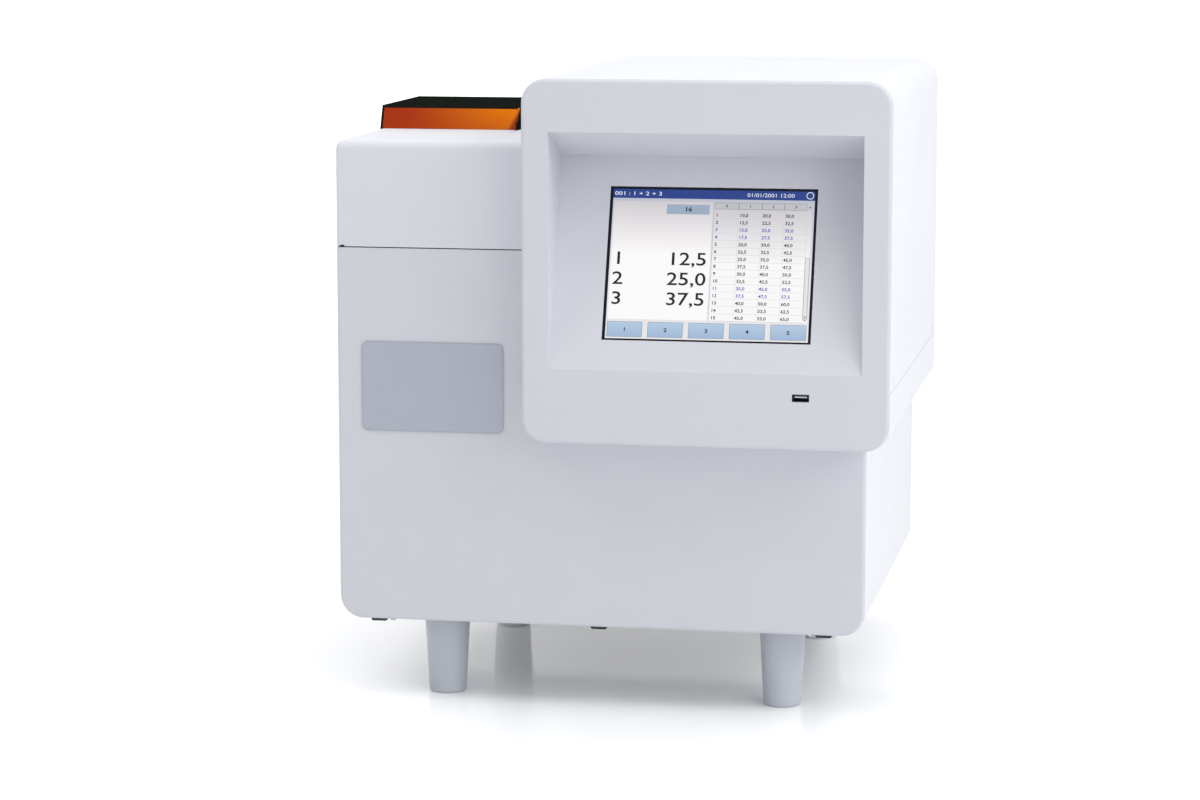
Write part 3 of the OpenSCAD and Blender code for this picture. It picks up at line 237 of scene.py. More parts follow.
def blend(tree: Tree, share: Socket, first: Socket | str, second: str) -> Socket:
    """Mixes two colours.

    Args:
        tree: The node tree.
        share: Share of the second colour, 0 to 1.
        first: The first colour, or the output that gives it.
        second: The second colour.

    Returns:
        The mixed colour.
    """
    settings: dict[str | int, Any] = {"data_type": "RGBA", 7: linear(second)}
    links: dict[str | int, Socket] = {0: share}
    if isinstance(first, str):
        settings[6] = linear(first)
    else:
        links[6] = first
    return add_node(tree, "ShaderNodeMix", settings, links).outputs[2]


# ---------- finishes ----------

CLOUD_SPAN: Point2 = (0.3, 0.7)  # most of a cloud pattern's values lie between these
BUMP_STRENGTH = 0.6


@dataclass(frozen=True)
class Finish:
    """A surface finish: its name, its colour and how rough it is."""

    name: str
    colour: str
    roughness: float = 0.5

    def material(self) -> bpy.types.Material:
        """Makes the material, or finds it if an earlier piece has it.

        Returns:
            The Blender material.
        """
        known = bpy.data.materials.get(self.name)
        if known is not None:
            return known
        made = bpy.data.materials.new(self.name)
        made.use_nodes = True
        tree = made.node_tree
        tree.nodes.clear()
        base = {"Base Color": linear(self.colour), "Roughness": self.roughness}
        shader = add_node(tree, "ShaderNodeBsdfPrincipled", base)
        add_node(tree, "ShaderNodeOutputMaterial", links={"Surface": shader.outputs[0]})
        self.dress(tree, shader)
        return made

    def dress(self, tree: Tree, shader: Node) -> None:
        """Adds what this finish shows beyond its colour. Each kind of finish has its own."""

    def vary_colour(self, tree: Tree, shader: Node, amount: Socket, other: str) -> None:
        """Lets the colour drift to another one by a share of 0 to 1."""
        tree.links.new(blend(tree, amount, self.colour, other), shader.inputs["Base Color"])

    def vary_roughness(self, tree: Tree, shader: Node, source: Socket, spread: float) -> None:
        """Lets the roughness follow a pattern, by half the spread to either side."""
        result = (self.roughness - spread / 2, self.roughness + spread / 2)
        tree.links.new(ranged(tree, source, CLOUD_SPAN, result), shader.inputs["Roughness"])

    def relief(self, tree: Tree, shader: Node, source: Socket, height_mm: float) -> None:
        """Raises the surface by a pattern, so many millimetres high."""
        settings = {"Strength": BUMP_STRENGTH, "Distance": height_mm * MM}
        bump = add_node(tree, "ShaderNodeBump", settings, {"Height": source})
        tree.links.new(bump.outputs["Normal"], shader.inputs["Normal"])


@dataclass(frozen=True)
class PowderCoat(Finish):
    """Polyester powder coat on sheet steel: an even colour whose gloss breaks up in a soft orange peel."""

    peel_mm: float = 2.2  # real peel is about 1 mm, drawn coarser so that it shows
    peel_high_mm: float = 0.012
    drift_mm: float = 90.0
    drift: str = "#E6E9EF"
    gloss: float = 0.12
    front: str = ""  # painted shade: greyer colour of the faces that look to the front, where less light falls than on the top

    def dress(self, tree: Tree, shader: Node) -> None:
        """Adds the peel, a gloss that follows it, a faint drift of the colour and, where given, painted shade
        on the front.
        """
        peel = noise(tree, self.peel_mm, 2.0)
        self.relief(tree, shader, peel, self.peel_high_mm)
        self.vary_roughness(tree, shader, peel, 0.06)
        self.vary_colour(tree, shader, noise(tree, self.drift_mm, 3.0), self.drift)
        shader.inputs["Coat Weight"].default_value = self.gloss
        shader.inputs["Coat Roughness"].default_value = 0.25
        if self.front:
            self.spray_front(tree, shader)

    def spray_front(self, tree: Tree, shader: Node) -> None:
        """Paints shade on the faces that look to the front with a greyer colour, which fades out round the
        edge.

        Args:
            tree: The node tree.
            shader: The principled shader, whose colour is already linked.
        """
        outward = add_node(tree, "ShaderNodeTexCoord").outputs["Normal"]
        backward = add_node(tree, "ShaderNodeSeparateXYZ", links={"Vector": outward}).outputs["Y"]
        share = ranged(tree, backward, (-0.35, -0.85), kind="SMOOTHSTEP")
        coat = shader.inputs["Base Color"].links[0].from_socket
        tree.links.new(blend(tree, share, coat, self.front), shader.inputs["Base Color"])


@dataclass(frozen=True)
class MouldedPlastic(Finish):
    """Injection-moulded plastic from a spark-eroded mould: a fine even grain that dulls the gloss."""

    grain_mm: float = 0.9  # real grain is about 0.2 mm, drawn coarser so that it shows
    grain_high_mm: float = 0.012
    drift: str | None = None
    cloud_mm: float = 40.0

    def dress(self, tree: Tree, shader: Node) -> None:
        """Adds the grain, its dulled gloss and the slight clouds of the pigment."""
        grain = noise(tree, self.grain_mm, 4.0)
        self.relief(tree, shader, grain, self.grain_high_mm)
        self.vary_roughness(tree, shader, grain, 0.10)
        if self.drift:
            self.vary_colour(tree, shader, noise(tree, self.cloud_mm, 4.0), self.drift)


class Working(Enum):
    """How a metal surface was made, with the scale of its marks along X, Y and Z."""

    BRUSHED = (0.04, 1.0, 1.0)
    SPANGLED = (1.0, 1.0, 1.0)
    TURNED = (0.08, 0.08, 1.0)
    MILLED = (1.0, 0.06, 1.0)


@dataclass(frozen=True)
class Metal(Finish):
    """A bare or plated metal whose surface keeps the marks of how it was made."""

    working: Working = Working.BRUSHED
    mark_mm: float = 0.5
    drift: str = "#8E9297"
    mark_high_mm: float = 0.01

    def dress(self, tree: Tree, shader: Node) -> None:
        """Adds the marks as gloss and as a change of tone, and all but the spangle as relief."""
        shader.inputs["Metallic"].default_value = 1.0
        where = stretched(tree, self.working.value)
        spangled = self.working is Working.SPANGLED
        if spangled:
            cells = {"Scale": per_metre(self.mark_mm)}
            marks = add_node(tree, "ShaderNodeTexVoronoi", cells, {"Vector": where}).outputs["Color"]
        else:
            marks = noise(tree, self.mark_mm, 2.0, where)
        grey = add_node(tree, "ShaderNodeRGBToBW", links={"Color": marks}).outputs[0]
        self.vary_colour(tree, shader, grey, self.drift)
        self.vary_roughness(tree, shader, grey, 0.14)
        if not spangled:
            self.relief(tree, shader, grey, self.mark_high_mm)


@dataclass(frozen=True)
class PrintedFoil(Finish):
    """Screen-printed foil on aluminium: a flat grey-blue with a silky, finely brushed sheen."""

    streak_mm: float = 0.7
    streak: str = "#B3B8C4"
    drawn: Point = (0.03, 1.0, 1.0)

    def dress(self, tree: Tree, shader: Node) -> None:
        """Adds fine level streaks to gloss and tone."""
        streaks = noise(tree, self.streak_mm, 2.0, stretched(tree, self.drawn))
        self.vary_colour(tree, shader, streaks, self.streak)
        self.vary_roughness(tree, shader, streaks, 0.10)
        shader.inputs["Metallic"].default_value = 0.15


@dataclass(frozen=True)
class StoveEnamel(Finish):
    """Black heat-proof enamel on steel: dull, with the peel of the sprayed coat and settled dust."""

    peel_mm: float = 1.8
    peel_high_mm: float = 0.02
    dust_mm: float = 14.0
    dust: str = "#21251F"

    def dress(self, tree: Tree, shader: Node) -> None:
        """Adds the dust to tone and gloss, and the peel as relief."""
        dust = noise(tree, self.dust_mm, 6.0)
        self.vary_colour(tree, shader, ranged(tree, dust, (0.5, 0.8)), self.dust)
        self.vary_roughness(tree, shader, dust, 0.12)
        self.relief(tree, shader, noise(tree, self.peel_mm, 2.0), self.peel_high_mm)
        shader.inputs["Specular IOR Level"].default_value = 0.0


@dataclass(frozen=True)
class TintedAcrylic(Finish):
    """Orange tinted acrylic in front of a dark duct, its light and shade painted on: deep red-brown painted
    shade where nothing lights it from behind, clear orange painted light at the end that faces the light, and
    painted shade where the duct's cheek stands behind it."""

    # Painted light and shade: bright is the painted light at the lit right end, deep the painted shade behind
    # the cheek, and foot_share how much painted light the foot keeps beside the top.
    bright: str = "#F4820A"
    deep: str = "#8E3413"
    left_mm: float = 0.0
    right_mm: float = 1.0
    low_mm: float = 0.0
    high_mm: float = 1.0
    cheek_mm: float = 6.5
    fade_mm: float = 2.5
    bend: float = 1.3  # over 1, the deep tone reaches further to the right
    foot_share: float = 0.62  # how bright the foot is beside the top

    def dress(self, tree: Tree, shader: Node) -> None:
        """Paints the slow change of light from left to right and from foot to top, and paints the cheek's
        shade.
        """
        x0, x1 = ((mm - CORNER_X) * MM for mm in (self.left_mm, self.right_mm))
        rise = (self.low_mm * MM, self.high_mm * MM)
        cheek, fade = self.cheek_mm * MM, self.fade_mm * MM
        slow = maths(tree, "POWER", ranged(tree, along(tree, "X"), (x0, x1)), self.bend)
        upward = ranged(tree, along(tree, "Z"), rise, (self.foot_share, 1.0))
        painted_light = blend(tree, maths(tree, "MULTIPLY", slow, upward), self.colour, self.bright)
        # The cheek's painted shade widens from nothing at the top to its full width at the foot.
        edge = ranged(tree, along(tree, "Z"), rise, (x1 - cheek, x1 + fade))
        past = maths(tree, "SUBTRACT", along(tree, "X"), edge)
        shade = ranged(tree, past, (-fade, fade), kind="SMOOTHSTEP")
        tree.links.new(blend(tree, shade, painted_light, self.deep), shader.inputs["Base Color"])
        shader.inputs["IOR"].default_value = 1.49
        shader.inputs["Specular IOR Level"].default_value = 0.08


@dataclass(frozen=True)
class OpticalGlass(Finish):
    """Polished optical glass: clear, with the faintest haze of handling."""

    clear: float = 0.95
    haze_mm: float = 6.0

    def dress(self, tree: Tree, shader: Node) -> None:
        """Adds the haze and lets the light through."""
        self.vary_roughness(tree, shader, noise(tree, self.haze_mm, 4.0), 0.04)
        shader.inputs["Transmission Weight"].default_value = self.clear
        shader.inputs["IOR"].default_value = 1.52


@dataclass(frozen=True)
class GlazedCeramic(Finish):
    """Glazed alumina: off-white under a thick wet-looking glaze that pools unevenly."""

    pool_mm: float = 7.0
    pool_high_mm: float = 0.05
    pool: str = "#DCD6C8"

    def dress(self, tree: Tree, shader: Node) -> None:
        """Adds the glaze and its slow waves."""
        pool = noise(tree, self.pool_mm, 1.0)
        self.relief(tree, shader, pool, self.pool_high_mm)
        self.vary_colour(tree, shader, pool, self.pool)
        shader.inputs["Coat Weight"].default_value = 0.8
        shader.inputs["Coat Roughness"].default_value = 0.06


@dataclass(frozen=True)
class WaxyPolymer(Finish):
    """Fluoropolymer or flexible tube: milky, a little light passes through, with faint turning marks."""

    depth_mm: float = 2.0
    mark_mm: float = 1.5
    cloud_mm: float = 12.0
    cloud: str = "#D5D9DB"

    def dress(self, tree: Tree, shader: Node) -> None:
        """Adds the milky depth and the marks."""
        self.vary_roughness(tree, shader, noise(tree, self.mark_mm, 3.0), 0.10)
        self.vary_colour(tree, shader, noise(tree, self.cloud_mm, 2.0), self.cloud)
        shader.inputs["Subsurface Weight"].default_value = 0.3
        shader.inputs["Subsurface Scale"].default_value = self.depth_mm * MM


@dataclass(frozen=True)
class CircuitBoard(Finish):
    """Glass-fibre board under green solder mask, with copper tracks under it and dark chips on it."""

    foot: Point = (0.0, 0.0, 0.0)
    up: Point = (0.0, 0.0, 1.0)
    board_mm: float = 1.6
    track_mm: float = 11.0
    mask: str = "#1E5A35"
    track: str = "#4C8A4E"
    chip: str = "#1D1E20"

    def dress(self, tree: Tree, shader: Node) -> None:
        """Adds the tracks and turns all that stands above or below the board into dark plastic."""
        where = places(tree)
        pattern = {
            "Scale": per_metre(self.track_mm),
            "Mortar Size": 0.03,
            "Color1": linear(self.colour),
            "Color2": linear(self.mask),
            "Mortar": linear(self.track),
        }
        tracks = add_node(tree, "ShaderNodeTexBrick", pattern, {"Vector": where})
        up = Vector(self.up).normalized()
        middle = at(*self.foot).dot(up) + self.board_mm * MM / 2
        height = add_node(tree, "ShaderNodeVectorMath", {"operation": "DOT_PRODUCT", 1: up}, {0: where})
        far = maths(tree, "ABSOLUTE", maths(tree, "SUBTRACT", height.outputs["Value"], middle))
        part = maths(tree, "GREATER_THAN", far, (self.board_mm / 2 + 0.1) * MM)
        mix = blend(tree, part, tracks.outputs["Color"], self.chip)
        tree.links.new(mix, shader.inputs["Base Color"])


@dataclass(frozen=True)
class LitPanel(Finish):
    """A lit area of the display: it gives off its own colour, which may fade from its foot to its top; on the
    ground, white and table panels that fade is painted shade from the housing's overhang.
    """

    roughness: float = 0.2
    top: str | None = None
    foot_mm: float = 0.0
    top_mm: float = 1.0

    def dress(self, tree: Tree, shader: Node) -> None:
        """Turns the colour into light and leaves only the panel's own gloss."""
        shader.inputs["Base Color"].default_value = (0.0, 0.0, 0.0, 1.0)
        shader.inputs["Emission Color"].default_value = linear(self.colour)
        shader.inputs["Emission Strength"].default_value = 1.0
        shader.inputs["Specular IOR Level"].default_value = 0.25
        # The fade towards the top colour carries painted shade on the panels that darken upward.
        if self.top is not None:
            upward = ranged(tree, along(tree, "Z"), (self.foot_mm * MM, self.top_mm * MM))
            tree.links.new(blend(tree, upward, self.colour, self.top), shader.inputs["Emission Color"])


@dataclass(frozen=True)
class PanelGlass(Finish):
    """Chemically toughened glass over a display that is dark at its rim: near black with a clean gloss."""

    haze_mm: float = 18.0

    def dress(self, tree: Tree, shader: Node) -> None:
        """Adds faint finger haze to the gloss."""
        self.vary_roughness(tree, shader, noise(tree, self.haze_mm, 5.0), 0.08)
        shader.inputs["Specular IOR Level"].default_value = 0.1


# Shell covers: powder-coated sheet, near white with a trace of blue.
COAT = PowderCoat("powder_coated_steel", "#F0F2F7", 0.42)
# Lid: the same coat, duller, with painted shade greying the faces that look to the front.
LID_COAT = PowderCoat("powder_coated_lid", "#EBEDF1", 0.6, drift="#E5E7EC", gloss=0.05, front="#DCDEE4")
# Front panel and display bezel: grained ABS mouldings in a pale cool grey.
FRONT = MouldedPlastic("grained_abs_front", "#D7D8DE", 0.48, drift="#D3D4DB")
# Feet: semi-gloss moulded ABS, grey-blue, with the mottle of a cheap pigment.
FOOT = MouldedPlastic("moulded_abs_foot", "#C9CDD5", 0.38, 1.2, 0.02, "#BEC3CC")
# Rear feet: the same moulding, painted paler for the light that falls on them under the body.
PAINTED_LIT_FOOT = MouldedPlastic("moulded_abs_rear_foot_painted_light", "#EFF0F3", 0.38, 1.2, 0.02, "#E6E7EB")
# Clips, fan, power entry and other black parts: glass-filled nylon, matt and faintly grained.
NYLON = MouldedPlastic("glass_filled_nylon", "#232527", 0.5, 0.8, 0.015, "#2B2D30")
# Fuse drawer and rocker: polished black nylon.
GLOSSY_NYLON = MouldedPlastic("polished_nylon", "#17181A", 0.22, 1.5, 0.005)
# Lid seal and the tabs in the cover's slots: EPDM rubber, dull black with a bloom of talc.
RUBBER = MouldedPlastic("epdm_rubber", "#141516", 0.8, 0.7, 0.02, "#1C1D1F")
# Cover seam: a grey strip of painted shade in the joint between the housing's cover and tray.
SEAM_SHADE = MouldedPlastic("painted_seam_shade", "#8A8C92", 0.9, 0.6, 0.02, "#7E8086")
# Tongue in the front socket: white liquid-crystal polymer.
TONGUE = MouldedPlastic("white_lcp_tongue", "#FAFAF9", 0.5)
# White print on the rocker.
MARKING = MouldedPlastic("white_tampo_print", "#E8EAEC", 0.5)
# Inner sheet work: bright zinc plate with its flowery spangle.
ZINC = Metal("zinc_plated_sheet", "#B4B8BC", 0.42, Working.SPANGLED, 9.0, "#9DA2A7")
# Screws, port shells, supply case and hinges: satin nickel plate.
NICKEL = Metal("satin_nickel_plate", "#BDBEBF", 0.30, Working.BRUSHED, 0.6, "#A5A7A9")
# Socket in the front: nickel darkened with painted shade for the dark inside that it reflects.
SOCKET = Metal("shaded_nickel_shell", "#4B4D51", 0.42, Working.BRUSHED, 0.4, "#3A3C3F")
# Hearth plate, chimney, nebuliser and duct: brushed stainless steel.
STAINLESS = Metal("brushed_stainless_steel", "#B5B4B0", 0.34, Working.BRUSHED, 0.5, "#96958F")
# Burner head, nipples and flame sensor: brass from the lathe.
BRASS = Metal("turned_brass", "#C6A25A", 0.28, Working.TURNED, 0.5, "#A9823B")
# Manifold and regulator: milled aluminium.
ALUMINIUM = Metal("milled_aluminium", "#C3C6C9", 0.36, Working.MILLED, 0.8, "#A9ADB1")
# Optics housing: aluminium, black anodised, so that no stray light comes back.
ANODISED = Metal("black_anodised_aluminium", "#24262B", 0.55, Working.MILLED, 0.6, "#1A1B1F")
# Contacts: hard gold plate.
GOLD = Metal("gold_plated_contact", "#D8B45C", 0.25, Working.BRUSHED, 0.3, "#C39B3E")
# Bare name plate: printed foil, grey-blue.
FOIL = PrintedFoil("printed_foil_plate", "#AEB3BF", 0.38)
# Edge line of the name plate: the same foil, printed darker.
FOIL_EDGE = PrintedFoil("foil_plate_edge", "#8F949F", 0.35)
# Flue shield: black stove enamel.
ENAMEL = StoveEnamel("black_stove_enamel", "#1B1E1A", 0.75)
# Shield window: extruded acrylic, tinted orange, polished, with light and shade painted across it.
WINDOW = TintedAcrylic(
    "orange_tinted_acrylic", "#A3340F", 0.2, left_mm=26, right_mm=126, low_mm=479.5, high_mm=498
)
# Lens and beam splitters: clear polished glass.
LENS_GLASS = OpticalGlass("polished_lens_glass", "#DCECEF", 0.04)
# Channel filters: coloured glass.
FILTER_GLASS = OpticalGlass("coloured_filter_glass", "#C8742F", 0.06, 0.8)
# Igniter: glazed alumina.
CERAMIC = GlazedCeramic("glazed_alumina", "#ECE7DC", 0.3)
# Mixing chamber and interlock plunger: turned fluoropolymer.
FLUOROPOLYMER = WaxyPolymer("waxy_fluoropolymer", "#E6E4DD", 0.45)
# Sample tube and drain pipe: milky tube.
TUBE = WaxyPolymer("milky_flexible_tube", "#DCE3E6", 0.35, 1.0)
# Touch panel: toughened glass over a dark rim.
GLASS = PanelGlass("toughened_panel_glass", "#0E1526", 0.14)


# ---------- mesh tools ----------

PULL = 1.2  # how much further than its width a chamfer pulls the rim in, so that corners keep up


def piece_of(
    name: str, shape: Shape, finish: Finish, body: str
) -> bpy.types.Object:
    """Turns a finished shape into a piece that rides on a body.

    Args:
        name: The piece's name.
        shape: The shape in the frame's metres. It is freed.
        finish: Its finish.
        body: The body that carries it.

    Returns:
        The new object.
    """
    bmesh.ops.recalc_face_normals(shape, faces=shape.faces)
    mesh = bpy.data.meshes.new(name)
    shape.to_mesh(mesh)
    shape.free()
    mesh.materials.append(finish.material())
    made = bpy.data.objects.new(name, mesh)
    bpy.context.scene.collection.objects.link(made)
    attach(made, body)
    LOG.info("piece %s: %d faces on %s", name, len(mesh.polygons), body)
    return made


def smooth_above(made: bpy.types.Object, degrees: float = 35.0) -> bpy.types.Object:
    """Shades a piece smooth wherever its faces meet at less than so many degrees."""
    made.data.shade_smooth()
    made.data.set_sharp_from_angle(angle=math.radians(degrees))
    return made


def ring_of(shape: Shape, place: Matrix, points: Iterable[Point2], level: float = 0.0) -> list[Corner]:
    """Adds one ring of corners at a height above a matrix's XY plane, all in millimetres."""
    return [shape.verts.new(place @ Vector((x * MM, y * MM, level * MM))) for x, y in points]


def bridge(shape: Shape, rings: Sequence[Sequence[Corner]], closed: bool = True) -> None:
    """Joins each ring of corners to the next by faces.

    Args:
        shape: The shape that it is added to.
        rings: The rings, each of as many corners.
        closed: Whether a ring's last corner is joined to its first.
    """
    for a, b in zip(rings, rings[1:]):
        for i in range(len(a) if closed else len(a) - 1):
            j = (i + 1) % len(a)
            shape.faces.new((a[i], a[j], b[j], b[i]))


def prism(
    shape: Shape, outline: Sequence[Point2], height: float, place: Matrix, soft: float = 0.0
) -> None:
    """Adds a flat piece with a chamfered upper rim.

    Args:
        shape: The shape that it is added to.
        outline: Its outline in millimetres, anticlockwise.
        height: Its thickness in millimetres.
        place: Where it lies: its foot on the matrix's XY plane, in metres.
        soft: Width of the chamfer, in millimetres.
    """
    middle = Vector((sum(p[0] for p in outline), sum(p[1] for p in outline))) / len(outline)
    levels = [(0.0, 0.0), (height - soft, 0.0), (height, soft)] if soft else [(0.0, 0.0), (height, 0.0)]
    rings = []
    for level, inset in levels:
        pulled = []
        for point in outline:
            away = Vector(point) - middle
            pulled.append(away * max(0.0, 1 - inset / max(away.length, 1e-6) * PULL) + middle)
        rings.append(ring_of(shape, place, pulled, level))
    bridge(shape, rings)
    shape.faces.new(rings[-1])
    shape.faces.new(list(reversed(rings[0])))


def box(shape: Shape, low: Point, high: Point) -> None:
    """Adds a box between two corners.

    Args:
        shape: The shape that it is added to.
        low: Its lower corner, in millimetres.
        high: Its upper corner, in millimetres.
    """
    outline = rectangle(high[0] - low[0], high[2] - low[2])
    prism(shape, outline, high[1] - low[1], facing(high[0], low[1], low[2], BACKWARD))


def rectangle(w: float, h: float) -> list[Point2]:
    """Outline of a rectangle, its lower left corner at 0, 0."""
    return [(0.0, 0.0), (w, 0.0), (w, h), (0.0, h)]


def rounded(w: float, h: float, r: float, steps: int = 6) -> list[Point2]:
    """Outline of a rectangle with round corners, its lower left corner at 0, 0.

    Args:
        w: Width.
        h: Height.
        r: Radius of the corners.
        steps: Points of each corner, less one.

    Returns:
        The points, anticlockwise.
    """
    points = []
    for x, y, start in ((w - r, r, -90), (w - r, h - r, 0), (r, h - r, 90), (r, r, 180)):
        for k in range(steps + 1):
            a = math.radians(start + 90 * k / steps)
            points.append((x + r * math.cos(a), y + r * math.sin(a)))
    return points


def disc(r: float, steps: int = 24, turn: float = 0.0) -> list[Point2]:
    """Outline of a circle or a regular polygon round 0, 0."""
    turns = [2 * math.pi * k / steps + turn for k in range(steps)]
    return [(r * math.cos(a), r * math.sin(a)) for a in turns]


def lathe(shape: Shape, profile: Sequence[Point2], place: Matrix, steps: int = 32) -> None:
    """Adds a turned form.

    Args:
        shape: The shape that it is added to.
        profile: Radius and height of each ring in millimetres, from foot to top.
        place: Where its foot stands; it rises along the matrix's Z.
        steps: Faces round the axis.
    """
    rings = [ring_of(shape, place, disc(r, steps), z) for r, z in profile]
    bridge(shape, rings)
    shape.faces.new(list(reversed(rings[0])))
    shape.faces.new(rings[-1])


def facing(x: float, y: float, z: float, outward: Point, turn: float = 0.0) -> Matrix:
    """A place on the object whose Z looks outward.

    Args:
        x: Distance to the right of the body's left side, in millimetres.
        y: Distance behind the body's front face.
        z: Height above the floor.
        outward: Direction that the place looks in.
        turn: Turn round that direction, in degrees.

    Returns:
        The matrix that puts a flat piece there.
    """
    turned = Vector(outward).to_track_quat("Z", "Y").to_matrix().to_4x4()
    return Matrix.Translation(at(x, y, z)) @ turned @ Matrix.Rotation(math.radians(turn), 4, "Z")


def axes(right: Point, up: Vector, out: Vector) -> Matrix:
    """The turn that lays X, Y and Z along three directions."""
    return Matrix((Vector(right), up, out)).transposed().to_4x4()


class Head(Enum):
    """Shapes of screw heads."""

    PAN_CROSS = "pan"
    HEX = "hex"
    RIVET = "rivet"


def screw_head(shape: Shape, place: Matrix, across: float, head: Head = Head.PAN_CROSS) -> None:
    """Adds a screw's or a rivet's head.

    Args:
        shape: The shape that it is added to.
        place: Where it sits, looking outward.
        across: Width of the head, in millimetres.
        head: Its kind.
    """
    r = across / 2
    if head is Head.HEX:
        prism(shape, disc(r, 6), 0.35 * across, place, 0.3)
        return
    dome = [(r, 0.0), (r, 0.10 * across), (0.86 * r, 0.24 * across), (0.6 * r, 0.32 * across)]
    if head is Head.RIVET:
        lathe(shape, [*dome, (0.25 * r, 0.36 * across)], place, 20)
        return
    lathe(shape, [*dome, (0.52 * r, 0.33 * across), (0.42 * r, 0.16 * across)], place, 20)
    arm = 0.5 * r
    for turn in (0, 90):
        bar = [(-arm, -0.12 * r), (arm, -0.12 * r), (arm, 0.12 * r), (-arm, 0.12 * r)]
        prism(shape, bar, 0.2 * across, place @ Matrix.Rotation(math.radians(turn), 4, "Z"))


# ---------- sub-assemblies ----------


@dataclass
class Dresser:
    """Gives the CAD nodes their finishes and their softened edges."""

    finishes: dict[str, Finish] = field(
        default_factory=lambda: {
            "white_paint": COAT,
            "front_moulding": FRONT,
            "zinc_sheet": ZINC,
            "plated_steel": NICKEL,
            "stainless": STAINLESS,
            "brass": BRASS,
            "dark_plastic": NYLON,
            "foot_plastic": FOOT,
            "screen_glass": GLASS,
            "plate_foil": FOIL,
            "shield_paint": ENAMEL,
            "black_anodised": ANODISED,
            "cast_aluminium": ALUMINIUM,
            "optical_glass": LENS_GLASS,
            "filter_glass": FILTER_GLASS,
            "glazed_ceramic": CERAMIC,
            "white_ptfe": FLUOROPOLYMER,
            "clear_tube": TUBE,
        }
    )
    special: dict[str, Finish] = field(default_factory=dict)
    softened: dict[str, float] = field(
        default_factory=lambda: {
            "side_panel_left": 0.4,
            "side_panel_right": 0.4,
            "rear_panel": 0.4,
            "housing_tray": 0.4,
            "housing_cover": 0.4,
            "name_plate": 0.25,
            "flue_shield": 0.35,
            "shield_window": 0.3,
        }
    )

    def dress(self) -> None:
        """Assigns a finish to every CAD node and rounds the edges of the shells."""
        slots = {s["node"]: s["material_slot"] for s in frame["record"]["subparts"]}
        for name, node in frame["nodes"].items():
            finish = self.special.get(name) or self.finishes[slots[name]]
            node.data.materials.clear()
            node.data.materials.append(finish.material())
            LOG.info("node %s: %s", name, finish.name)
        for name, width in self.softened.items():
            self.soften(frame["nodes"][name], width)

    def soften(self, node: bpy.types.Object, width: float) -> None:
        """Rounds a node's sharp edges by modifiers, so that they catch the light.

        Args:
            node: The CAD node.
            width: Width of the rounding, in millimetres.
        """
        weld = node.modifiers.new("weld", "WELD")
        weld.merge_threshold = 0.00001
        flat = node.modifiers.new("flat", "DECIMATE")
        flat.decimate_type = "DISSOLVE"
        flat.angle_limit = math.radians(0.4)
        edge = node.modifiers.new("edge", "BEVEL")
        edge.width = width * MM
        edge.segments = 2
        edge.limit_method = "ANGLE"
        edge.angle_limit = math.radians(50)
        edge.harden_normals = True


DIGIT_SHARE = 0.73  # height of a digit as a share of the font's size


@dataclass(frozen=True)
class Figure:
    """A number on the screen: its digits, its foot's place in millimetres, its height, the side that it
    is set from, how much wider than high it is drawn, and how bold, as a share of its height."""

    digits: str
    u: float
    v: float
    size: float
    side: str = "LEFT"
    wide: float = 1.0
    weight: float = 0.0


